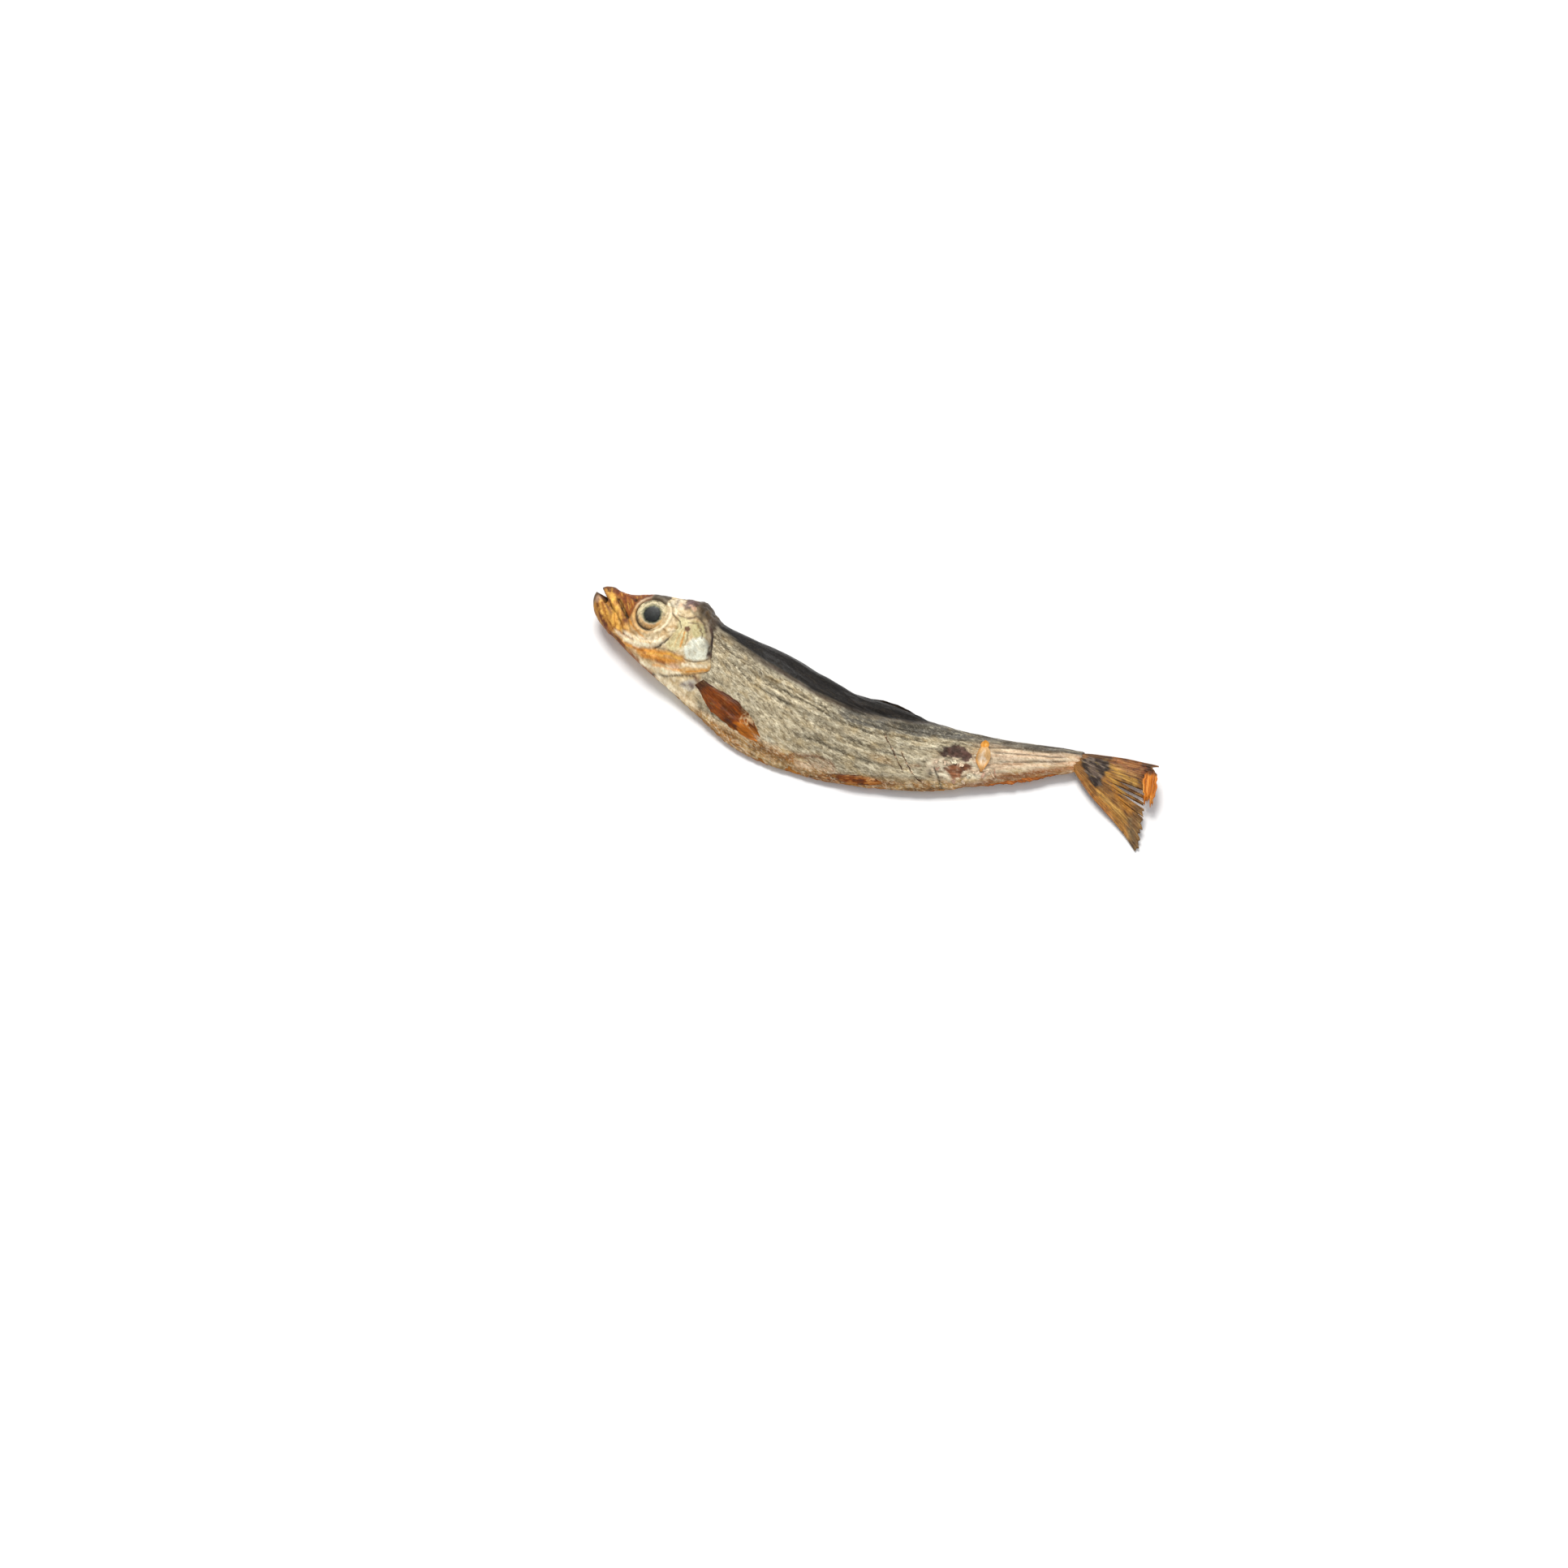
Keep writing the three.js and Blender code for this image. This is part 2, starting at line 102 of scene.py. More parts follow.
SCAR_S, SCAR_V, SCAR_RADIUS = 72.8, 0.2, 2.6
PECTORAL = {"root": (25.9, -4.7), "tip": (41.6, -7.7), "half_width": 1.95, "rays": 10}
PELVIC = {"root": (53.6, -7.2), "tip": (62.2, -6.0), "half_width": 0.8, "rays": 5}
DORSAL = {"start": 49, "end": 61, "sweep": 6, "height": 1.2, "rays": 13}
ANAL = {"start": 75, "end": 90, "sweep": 2.4, "height": 1.2, "rays": 15}
TAIL_UP, TAIL_DOWN = -7.0, 34.5  # degrees, the two edges of the tail fin
TAIL_LENGTH = {"up": 14.4, "middle": 14.2, "down": 18.3}
TAIL_LIFT = {"up": 3.4, "middle": 1.9, "down": 0.5}
TAIL_ROOT = 3.6
FIN_THICKNESS = 0.55
FLAKE_S, FLAKE_TOP, FLAKE_BOTTOM, FLAKE_HALF_WIDTH, FLAKE_STAND = 77.5, 3.1, -2.5, 1.3, 1.1


def ease(t):
    """A step from 0 to 1 that starts and ends level: t squared times three less two t."""
    t = np.clip(t, 0, 1)
    return t * t * (3 - 2 * t)


def mix(a, b, t):
    """a where t is 0, b where t is 1, and in proportion between them."""
    return a + (b - a) * t


def bell(t):
    """A bump of height 1 about 0 that has all but gone at 2: e to the power of minus t squared."""
    return np.exp(-np.square(t))


def circle(count):
    """That many angles in even steps once round, in radians."""
    return np.arange(count) / count * 2 * np.pi


def level(s, table):
    """The value at s of a table of stations and values, in straight runs between them."""
    return np.interp(s, list(table), list(table.values()))


def at_station(values, s):
    """A smooth curve through a row of station values: a cubic between each two stations, whose slope at
    a station is that of the line between its two neighbours."""
    y = np.asarray(values, float)
    s = np.asarray(s, float)
    last = len(STATION) - 1
    i = np.clip(np.searchsorted(STATION, s, side="right") - 1, 0, last - 1)
    before, after = np.maximum(np.arange(last + 1) - 1, 0), np.minimum(np.arange(last + 1) + 1, last)
    slope = (y[after] - y[before]) / (STATION[after] - STATION[before])
    h = STATION[i + 1] - STATION[i]
    t = (s - STATION[i]) / h
    near = (1 + 2 * t) * (1 - t) ** 2
    bend = t * (1 - t) ** 2 * slope[i] + t * t * (t - 1) * slope[i + 1]
    return near * y[i] + (1 - near) * y[i + 1] + h * bend


def heading(s):
    """The backbone's heading in radians: one value at the head, another at the tail, eased between."""
    return np.radians(mix(HEAD_HEADING, TAIL_HEADING, ease((s - BEND_START) / (BEND_END - BEND_START))))


BACKBONE_STEP = 0.1
STEPS = np.arange(int(BODY_LENGTH / BACKBONE_STEP) + 1) * BACKBONE_STEP
TURNS = (heading(STEPS[:-1]) + heading(STEPS[1:])) / 2
BACKBONE = SNOUT + BACKBONE_STEP * np.vstack(
    [[0, 0], np.cumsum(np.column_stack([np.cos(TURNS), -np.sin(TURNS)]), 0)]
)


def plan_point(s):
    """The backbone in plan: small straight steps along the heading, added up."""
    k = np.clip(np.floor(s / BACKBONE_STEP), 0, len(BACKBONE) - 2).astype(int)
    t = (s / BACKBONE_STEP - k)[..., None]
    return BACKBONE[k] * (1 - t) + BACKBONE[k + 1] * t


def section(s, angle):
    """(u, v) round the section at s: u is the half width times the cosine to a power, v the widest level
    plus the reach times the sine to a power, and both close as quarter circles at the nose and the end."""
    widest = at_station(WIDEST_AT, s)
    upper = np.sin(angle) >= 0
    sine, cosine = np.abs(np.sin(angle)), np.abs(np.cos(angle))
    keel = at_station(KEEL_SHARPNESS, s)
    square = at_station(BACK_SQUARENESS, s)
    reach = np.where(upper, at_station(BACK_HEIGHT, s) - widest, at_station(BELLY_DEPTH, s) + widest)
    nose = 1 - np.minimum(1, (s - JAW_TIP) / NOSE_ROUND)
    end = np.maximum(0, 1 - (BODY_LENGTH - s) / (BODY_LENGTH - END_START))
    close = np.sqrt(np.maximum(0, 1 - nose**2)) * np.sqrt(np.maximum(0, 1 - end**2))
    u = close * at_station(HALF_WIDTH, s) * np.sign(np.cos(angle)) * cosine ** np.where(upper, square, keel)
    v = widest + close * reach * np.where(upper, sine, -(sine**keel))
    return u, v


def outward(s, angle):
    """The way out of the section: a short run round it, turned by a quarter."""
    (u1, v1), (u0, v0) = section(s, angle + 0.02), section(s, angle - 0.02)
    along = np.maximum(np.hypot(u1 - u0, v1 - v0), 1e-9)
    return (v1 - v0) / along, -(u1 - u0) / along


def angle_at(s, v, side):
    """The angle at which the section is v above the backbone on one side: the section's sine, undone."""
    widest = at_station(WIDEST_AT, s)
    upper = v >= widest
    reach = np.where(upper, at_station(BACK_HEIGHT, s) - widest, at_station(BELLY_DEPTH, s) + widest)
    share = np.minimum(1, np.abs(v - widest) / reach)
    sine = np.where(upper, share, -(share ** (1 / at_station(KEEL_SHARPNESS, s))))
    return np.arctan2(sine, side * np.sqrt(1 - sine**2))


HEIGHT_STATIONS = np.arange(JAW_TIP, BODY_LENGTH + 0.01, 0.5)


def backbone_heights():
    """The height of the backbone each half millimetre: what puts the section's lowest point as far
    above the floor as FLOOR_GAP says."""
    inside = np.clip(HEIGHT_STATIONS, JAW_TIP + NOSE_ROUND, END_START)[:, None]
    roll = np.radians(at_station(ROLL, HEIGHT_STATIONS))[:, None]
    u, v = section(inside, circle(72)[None, :])
    return at_station(FLOOR_GAP, HEIGHT_STATIONS) - (v * np.sin(roll) + u * np.cos(roll)).min(1)


HEIGHTS = backbone_heights()


def place(s, u, v):
    """A point u across and v above the backbone at s, in the part's frame: the section is turned by the
    roll about the backbone, then by the heading about the vertical."""
    s, u, v = np.broadcast_arrays(np.asarray(s, float), u, v)
    inside = np.clip(s, JAW_TIP, BODY_LENGTH)
    roll = np.radians(at_station(ROLL, inside))
    across = v * np.cos(roll) - u * np.sin(roll)
    plan = plan_point(s)
    turn = heading(s)
    height = np.interp(inside, HEIGHT_STATIONS, HEIGHTS) + v * np.sin(roll) + u * np.cos(roll)
    return np.stack([plan[..., 0] + across * np.sin(turn), plan[..., 1] + across * np.cos(turn), height], -1)


def mouth_line(s):
    """The straight line between the jaws, from the tip of the lower jaw to the corner of the mouth."""
    return MOUTH_TIP_V + (s - JAW_TIP) * (MOUTH_CORNER_V - MOUTH_TIP_V) / (MOUTH_CORNER_S - JAW_TIP)


# ---------------------------------------------------------------- grain and lines
LATTICE = 32  # cells of random numbers each way, after which they repeat
FLECK_SLANT = 0.18  # how far the rows of flecks rise for each millimetre along the body


def grain(points, seed):
    """Even random numbers from 0 to 1 on a cubic lattice, joined by eased blends."""
    table = np.random.default_rng(seed).random((LATTICE, LATTICE, LATTICE))
    cell = np.floor(points).astype(int)
    t = ease(points - cell)
    total = np.zeros(points.shape[:-1])
    for corner in product((0, 1), repeat=3):
        weight = np.prod(np.where(np.array(corner) == 1, t, 1 - t), -1)
        at = (cell + np.array(corner)) % LATTICE
        total += weight * table[at[..., 0], at[..., 1], at[..., 2]]
    return total


def cloud(a, b, c, seed, octaves=3):
    """Grain over three directions in several sizes, each half as large and half as strong as the last,
    spread from -1 to 1. The seed picks the random numbers."""
    points = np.stack(np.broadcast_arrays(a, b, c), -1)
    total = sum(grain(points * 2**k, seed + k) / 2**k for k in range(octaves))
    return 2 * total / (2 - 0.5 ** (octaves - 1)) - 1


def streaks(s, v, u, long, wide, seed, octaves=2):
    """Cloud drawn out along the body: long millimetres along s for every wide millimetres across."""
    return cloud(s / long, v / wide, u / wide + 7.3, seed, octaves)


def line_distance(s, v, corners):
    """The distance in millimetres to a line of straight runs: to each run the foot of the upright is
    held between its two ends, and the nearest run counts."""
    nearest = np.full(np.shape(s), 1e9)
    for (s0, v0), (s1, v1) in zip(corners[:-1], corners[1:]):
        ds, dv = s1 - s0, v1 - v0
        t = np.clip(((s - s0) * ds + (v - v0) * dv) / (ds * ds + dv * dv), 0, 1)
        nearest = np.minimum(nearest, np.hypot(s - s0 - t * ds, v - v0 - t * dv))
    return nearest


def stroke(s, v, corners, width):
    """1 along a line and falling off beside it as a bell of that width."""
    return bell(line_distance(s, v, corners) / width)


def spot(s, v, centre, radii, soft):
    """1 inside an ellipse, 0 outside, with a soft edge."""
    reach = np.hypot((s - centre[0]) / radii[0], (v - centre[1]) / radii[1])
    return 1 - ease((reach - 1 + soft) / (2 * soft))


def patch(s, v, corners, soft=0.4):
    """1 inside a closed outline and 0 outside, with a soft edge: the distance to the outline, counted as
    inside where a line drawn from the point crosses the outline an odd number of times."""
    loop = [*corners, corners[0]]
    inside = np.zeros(np.shape(s), bool)
    for (s0, v0), (s1, v1) in zip(loop[:-1], loop[1:]):
        if v0 != v1:
            inside ^= ((v0 > v) != (v1 > v)) & (s < s0 + (v - v0) * (s1 - s0) / (v1 - v0))
    away = line_distance(s, v, loop)
    return ease(0.5 + np.where(inside, away, -away) / soft)


def closed_curve(corners, count):
    """A smooth closed curve through corners: on each run a Catmull-Rom cubic, from 0 round to 1."""
    p = np.asarray(corners, float)
    t = np.arange(count) / count * len(p)
    k, f = np.floor(t).astype(int), (t % 1)[:, None]
    p0, p1, p2, p3 = (p[(k + step) % len(p)] for step in (-1, 0, 1, 2))
    return 0.5 * (2 * p1 + (p2 - p0) * f + (2 * p0 - 5 * p1 + 4 * p2 - p3) * f**2
                  + (3 * p1 - p0 - 3 * p2 + p3) * f**3)


# ---------------------------------------------------------------- relief of the skin
CHEEK_CREASE = [(14.4, 5.0), (15.6, 3.8), (16.9, 2.3), (17.5, 0.1), (17.0, -1.7), (15.8, -3.9),
                (13.6, -5.1), (10.6, -5.4)]
UPPER_JAW = [(3.4, -0.6), (5.6, -1.5), (7.8, -2.9), (8.9, -4.0)]
BELLY_SEAM = [(9.5, -5.7), (14.7, -7.0), (19.3, -7.7), (27.8, -8.9), (36, -10.1), (44, -9.6)]
GILL_STRIPS = [
    [(9.0, -5.0), (14.0, -5.9), (19.0, -6.2), (23.6, -5.0)],
    [(9.4, -5.6), (14.6, -6.5), (19.4, -6.8), (23.8, -5.7)],
    [(11.0, -4.9), (15.6, -5.3), (19.6, -5.6), (23.4, -4.4)],
]
LONG_CREASES = [
    [(37.0, 1.3), (40.2, 1.9), (43.8, 2.1), (47.3, 2.1), (50.8, 1.7), (54.1, 1.7), (58.5, 1.2)],
    [(26.0, 3.1), (31.0, 2.2), (36.0, 2.5), (42.0, 2.9), (50.0, 2.8)],
    [(28.0, 1.4), (33.0, 0.4), (38.0, 0.1), (44.0, 0.7)],
    [(52.0, -0.9), (56.0, -0.6), (61.0, -1.2), (66.0, -1.1)],
    [(58.0, 1.9), (66.0, 2.1), (74.0, 2.3), (84.0, 1.9), (92.0, 1.1)],
    [(79.0, 0.9), (85.0, 0.6), (93.0, 0.1)],
    [(80.0, -0.9), (87.0, -0.8), (93.0, -0.6)],
    [(44.0, -3.6), (50.0, -3.0), (57.0, -3.3), (63.0, -2.9)],
]
SCRATCHES = [
    [(60.2, 1.9), (61.0, 1.0), (61.9, 0.0), (62.7, -1.1), (63.5, -2.3), (64.4, -3.5)],
    [(63.6, -0.3), (64.3, -1.3), (65.2, -2.6), (66.3, -4.0), (67.2, -4.7), (68.2, -5.0)],
]
THIRD_SCRATCH = [(69.6, -2.4), (70.3, -3.8), (71.0, -5.4)]
SCAR_AREA = [(70.3, 0.3), (70.9, 1.3), (72.6, 2.0), (74.6, 1.7), (75.6, 0.7), (76.4, -0.4), (75.2, -0.9),
             (74.0, -0.4), (72.6, -0.1), (71.2, -0.3)]
RED_SCAR_AREA = [(71.3, -2.4), (72.3, -1.8), (73.8, -1.1), (75.4, -1.2), (76.3, -1.9), (74.9, -2.6),
                 (74.2, -3.6), (72.8, -3.9)]
TORN_AREA = [(68.4, -1.2), (70.6, -0.2), (73.0, 0.6), (76.6, 0.0), (79.4, -1.6), (79.0, -3.6),
             (75.0, -4.4), (70.0, -4.2), (68.2, -3.0)]
HEAD_FOLDS = [  # corners and height of small folds and bones of the head
    ([(12.9, 4.9), (14.4, 5.9), (15.9, 5.0)], 0.22),
    ([(14.9, 3.7), (16.0, 3.4)], 0.2),
    ([(13.0, 4.4), (14.8, 3.4), (16.2, 2.0)], -0.16),
    ([(9.6, -4.3), (12.8, -4.3), (15.2, -3.2)], 0.24),
    ([(7.4, -4.9), (10.4, -5.3), (12.8, -5.4)], 0.14),
    ([(6.2, -5.5), (9.8, -6.0), (14.6, -6.6)], -0.16),
    ([(3.2, -0.4), (4.8, -1.8), (6.4, -3.6)], 0.18),
    ([(4.3, 0.3), (5.4, -0.4), (7.8, -1.9)], -0.2),
    ([(12.6, -6.0), (15.3, -5.8), (17.5, -4.7)], 0.16),
    ([(17.7, 5.6), (19.4, 6.0), (21.4, 5.6)], 0.18),
    ([(18.4, 6.6), (20.4, 6.8)], -0.16),
]

# Levels along the body, as station: millimetres above the backbone, and for the dark of the back as
# station: share of the way from the backbone to the ridge.
DARK_EDGE = {14: 0.97, 18: 0.90, 23: 0.80, 28: 0.67, 34: 0.55, 44: 0.56, 54: 0.61, 60: 0.65, 65: 0.76,
             68.5: 0.98, 72: 1.2}
BLUE_EDGE = {44: 5.0, 50: 3.2, 53: 2.2, 57: 2.4, 61: 2.7, 69: 3.0, 77: 2.7, 80: 2.4, 84: 1.7, 90: 1.0,
             96: 0.6}
BELLY_EDGE = {20: -7.6, 28: -8.2, 33: -8.3, 38: -8.0, 41: -7.2, 44: -6.8, 47: -6.5, 50: -6.3, 53: -6.1,
              57: -5.9, 61: -5.4, 66: -4.7, 72: -4.0, 78: -3.1, 84: -2.6, 90: -1.8, 96: -1.0}
PLATE_EDGE = {16.4: -2.4, 18: -2.6, 20: -2.6, 21.6: -2.8, 23.3: -2.4, 24.8: -1.3, 25.6: -0.4}


def shape_relief(s, v, side):
    """The solid's own relief, outwards in millimetres: eye socket, cheek, lips, the groove under the
    back, the long wrinkles of drying, and the scar on the left flank, each a bell or an eased step."""
    eye_away = eye_polar(s, v)[0]
    socket = (-SOCKET_DEPTH * (1 - ease((eye_away - SOCKET_RADIUS + 0.8) / 1.2))
              + 0.2 * bell((eye_away - SOCKET_RADIUS - 0.5) / 0.8))
    behind_or_below = ease((s - EYE_S - (v - EYE_V) + 1) / 3)
    cheek = CHEEK_RISE * behind_or_below * (1 - ease((eye_away - CHEEK_RADIUS + 0.6) / 1.2))
    above_mouth = v - mouth_line(s)
    lips = 0.2 * bell((above_mouth - 1.3) / 0.8) - 0.3 * bell(above_mouth / 0.6)
    mouth = lips * (1 - ease((s - MOUTH_CORNER_S + 1) / 2))
    trunk = ease((s - 25) / 8) * ease((94 - s) / 14)
    groove = -0.3 * bell((v - 0.52 * at_station(BACK_HEIGHT, np.minimum(s, BODY_LENGTH))) / 0.9)
    wander = 1.6 * np.sin(s / 4.1) + 0.9 * np.sin(s / 1.7 + v)
    strength = 0.6 + 0.4 * np.sin(s / 6.5 + 0.7 * v + side)
    wrinkle = 0.16 * strength * np.sin(2 * np.pi * v / 2.3 + wander)
    scar_away = np.hypot((s - SCAR_S) / SCAR_RADIUS, (v - SCAR_V) / (0.7 * SCAR_RADIUS))
    pit = -0.35 * (1 - ease((scar_away - 0.7) / 0.4)) + 0.2 * bell((scar_away - 1.25) / 0.25)
    return socket + cheek + mouth + trunk * (groove + wrinkle) + np.where(side > 0, pit, 0)


def dark_edge(s):
    """The level down to which the back is near black: a share of the height of the ridge."""
    return level(s, DARK_EDGE) * at_station(BACK_HEIGHT, np.clip(s, 0, BODY_LENGTH))


def eye_polar(s, v):
    """The distance from the middle of the eye, and the angle about it in radians."""
    return np.hypot(s - EYE_S, v - EYE_V), np.arctan2(v - EYE_V, s - EYE_S)


def skin_parts(s, v, u, side):
    """The parts of the skin as numbers from 0 to 1: where each zone, crease and mark lies."""
    ragged = ragged_grain(s, v, u)
    long_ragged = streaks(s, v, u, 7.0, 0.5, 15)
    left = np.where(side > 0, 1.0, 0.0)
    rough = 0.7 * cloud(s * 0.9, v * 0.9, u * 0.9, 31)
    fine_rough = 0.4 * cloud(s * 2.2, v * 2.2, u * 2.2, 35)
    s_off, v_off = s + rough + fine_rough, v + 0.6 * rough - fine_rough
    uneven = 0.5 + 0.9 * ease((v - 3) / 2)
    trunk = ease((s - 25.2 + uneven * ragged + 0.30 * (v + 2.0)) / 2.0 + 0.5)
    dark = ease((v - dark_edge(s) + 0.35 * ragged + 0.25 * long_ragged) / 0.7 + 0.5)
    blue = ease((v - level(s, BLUE_EDGE) + 0.35 * long_ragged + 0.2 * ragged) / 0.9 + 0.5)
    belly = ease((level(s, BELLY_EDGE) - v + 0.9 * ragged) / 1.6 + 0.4)
    scratch = np.maximum(stroke(s + 0.1 * ragged, v, THIRD_SCRATCH, 0.2),
                         bell(np.hypot(s - 69.0, v + 3.4) / 0.4))
    return SimpleNamespace(
        trunk=trunk,
        head=1 - trunk,
        dark=dark * ease((s - 12) / 5),
        blue=blue * ease((s - 46) / 8),
        belly=belly * ease((s - 22) / 8),
        stock=ease((s - 72 + 2 * ragged) / 12),
        creases=sum(stroke(s, v + 0.3 * ragged, line, 0.22) * ends(s, line) for line in LONG_CREASES),
        third_scratch=left * scratch,
        scar=left * patch(s_off, v_off, SCAR_AREA, 0.35),
        red_scar=left * patch(s_off, v_off, RED_SCAR_AREA, 0.4),
        torn=left * patch(s_off, v_off, TORN_AREA, 1.6),
        mouth_gap=mouth_gap(s, v),
    )


def ends(s, line):
    """1 along a line's length and eased to 0 over its two last millimetres."""
    first, last = line[0][0], line[-1][0]
    return ease((s - first) / 2) * ease((last - s) / 2)


def mouth_gap(s, v):
    """1 inside the open mouth, a wedge that widens towards the tip of the jaw, and 0 outside it."""
    half = 0.5 * (0.05 + MOUTH_GAP * np.clip(MOUTH_END - s, 0, 5) / 4.4)
    return (1 - ease((np.abs(v - mouth_line(s)) - half) / 0.5)) * ease((MOUTH_END - s) / 0.5)


def fine_relief(s, v, u, parts):
    """Relief that only the skin piece has, outwards in millimetres: narrow wrinkles and flecks on the
    trunk, bones and creases on the head, the scar's torn edges and a ragged belly."""
    trunk, head = parts.trunk, parts.head
    long_fine = 0.10 * streaks(s, v, u, 6.0, 0.34, 41, 2) * (0.6 + 0.7 * parts.blue + 0.3 * parts.stock)
    long_wide = 0.13 * streaks(s, v, u, 9.0, 0.8, 43, 2) * (1 - 0.5 * parts.dark) * (1 - 0.5 * parts.stock)
    flecks = 0.055 * fleck_grain(s, v, u) * (1 - parts.dark) * (1 - 0.6 * parts.blue)
    relief = trunk * (long_fine + long_wide + flecks - 0.10 * np.minimum(1, parts.creases))
    lumps, small = lump_grain(s, v, u), small_grain(s, v, u)
    eye_away, around = eye_polar(s, v)
    nape = ease((s - 12.5) / 2) * ease((26 - s) / 3) * ease((v - 2.8) / 2)
    plain_bone = head * ease((eye_away - 3.1) / 0.6)
    relief += 1.15 * bell((s - 18.8) / 3.0) * ease((v - 3.6) / 3.0)
    relief += 0.24 * nape * lumps + plain_bone * (0.10 * lumps + 0.045 * small)
    low_cheek = 0.4 + 0.6 * ease((1.0 - v) / 3)
    relief -= 0.20 * low_cheek * stroke(s + 0.3 * lumps, v, CHEEK_CREASE, 0.26) * head
    relief += 0.20 * low_cheek * stroke(s + 0.8, v - 0.1, CHEEK_CREASE, 0.55) * head
    relief += 0.26 * stroke(s, v + 0.15 * lumps, UPPER_JAW, 0.5)
    relief -= 0.2 * (stroke(s - 0.25, v - 0.85, UPPER_JAW, 0.2) + stroke(s, v + 0.75, UPPER_JAW, 0.2))
    relief += 0.17 * bell((eye_away - 3.45 - 0.2 * lumps) / 0.35)
    relief -= (0.03 + 0.18 * ease(np.cos(around + 2.2) * 1.5)) * bell((eye_away - 3.0) / 0.2)
    relief += 0.08 * bell((eye_away - 4.4 - 0.3 * lumps) / 0.3) * ease((s - EYE_S + 1) / 2)
    relief += sum(0.17 * stroke(s + 0.2 * lumps, v + 0.12 * lumps, line, 0.24) for line in GILL_STRIPS)
    relief -= 0.3 * bell(np.hypot(s - NOSTRIL_S, v - NOSTRIL_V) / 0.32)
    relief += 0.34 * bell(np.hypot((s - 1.5) / 0.9, (v - 2.0) / 0.7))
    for corners, height in HEAD_FOLDS:
        relief += height * stroke(s + 0.2 * lumps, v, corners, 0.22) * head
    relief += 0.15 * stroke(s, v, BELLY_SEAM, 0.28)
    shreds = cloud(s / 0.8, v / 0.6, u / 0.6, 61)
    relief += 0.34 * shreds * parts.torn * (1 - 0.5 * parts.scar) - 0.26 * parts.red_scar - 0.10 * parts.scar
    keel = bell((v + at_station(BELLY_DEPTH, np.clip(s, 0, BODY_LENGTH))) / 0.8)
    return relief + 0.12 * keel * trunk * cloud(s / 0.9, 0, 0, 71, 2)


def fleck_grain(s, v, u):
    """Small flecks in slightly slanted rows, from -1 to 1: grain twice as long as it is high."""
    return cloud(s / 0.75, (v + FLECK_SLANT * s) / 0.36, u / 0.4, 81, 2)


def ragged_grain(s, v, u):
    """What makes the edges of the skin's zones uneven, from -1 to 1: short streaks along the body."""
    return streaks(s, v, u, 3.0, 0.7, 11)


def lump_grain(s, v, u):
    """The lumps of the head's bones, about a millimetre wide, from -1 to 1."""
    return cloud(s / 1.1, v / 0.9, u / 0.9, 51)


def small_grain(s, v, u):
    """The small unevenness of the head, less than half a millimetre wide, from -1 to 1."""
    return cloud(s / 0.42, v / 0.34, u / 0.4, 55, 2)


def on_skin(s, v, side, outside=0.0):
    """A point that far outside the skin at s and v on one side."""
    s, v = np.broadcast_arrays(np.asarray(s, float), np.asarray(v, float))
    angle = angle_at(s, v, side)
    u, w = section(s, angle)
    out_u, out_v = outward(s, angle)
    away = shape_relief(s, v, np.full(s.shape, float(side))) + outside
    return place(s, u + out_u * away, w + out_v * away)


# ---------------------------------------------------------------- putting meshes together
def grid_quads(rows, columns, wrap):
    """Faces of a grid of points, row by row, that closes on itself across the columns if wrap is set."""
    k = np.arange(columns if wrap else columns - 1)
    across = (k + 1) % columns
    row = np.arange(rows - 1)[:, None] * columns
    return np.stack([row + k, row + across, row + columns + across, row + columns + k], -1).reshape(-1, 4)


def end_fans(count, around):
    """The faces that close a tube at both ends: its points are numbered ring by ring, and the two points
    at its ends come after the last ring."""
    k = np.arange(around)
    ahead = (k + 1) % around
    first, last = np.full(around, count), np.full(around, count + 1)
    rear = count - around
    return np.vstack([np.stack([first, ahead, k], -1), np.stack([last, rear + k, rear + ahead], -1)])


def put_mesh(name, points, quads, material, fans=(), **fields):
    """A mesh object from points in millimetres, quads, and three-cornered fans. Its signed volume says
    whether the faces point outwards, and they are all turned round if it is below nothing. fields are
    attributes of its points, one number or three for each; where the name ends in colour it is one."""
    points = np.array(points, float).reshape(-1, 3)
    points[:, 2] = np.maximum(points[:, 2], 0)
    fans = np.asarray(fans, int).reshape(-1, 3)
    thirds = np.vstack([quads[:, [0, 1, 2]], quads[:, [0, 2, 3]], fans])
    a, b, c = (points[thirds[:, k]] for k in range(3))
    if np.einsum("ij,ij->i", a, np.cross(b, c)).sum() < 0:
        quads, fans = quads[:, ::-1], fans[:, ::-1]
    mesh = bpy.data.meshes.new(name)
    corners = np.concatenate([quads.ravel(), fans.ravel()]).astype(np.int32)
    starts = np.concatenate([np.arange(len(quads)) * 4, len(quads) * 4 + np.arange(len(fans)) * 3])
    mesh.vertices.add(len(points))
    mesh.vertices.foreach_set("co", (points * MM).astype(np.float32).ravel())
    mesh.loops.add(len(corners))
    mesh.loops.foreach_set("vertex_index", corners)
    mesh.polygons.add(len(starts))
    mesh.polygons.foreach_set("loop_start", starts.astype(np.int32))
    mesh.polygons.foreach_set("use_smooth", np.ones(len(starts), bool))
    for key, values in fields.items():
        values = np.asarray(values, np.float32).reshape(len(points), -1)
        kind, member = ("FLOAT", "value") if values.shape[1] == 1 else ("FLOAT_VECTOR", "vector")
        if key.endswith("colour"):
            kind, member = "FLOAT_COLOR", "color"
            values = np.column_stack([values, np.ones(len(points), np.float32)])
        mesh.attributes.new(key, kind, "POINT").data.foreach_set(member, values.ravel())
    mesh.update(calc_edges=True)
    mesh.validate()
    mesh.materials.append(material)
    piece = bpy.data.objects.new(name, mesh)
    bpy.context.scene.collection.objects.link(piece)
    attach(piece, "root")
    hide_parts("fish")


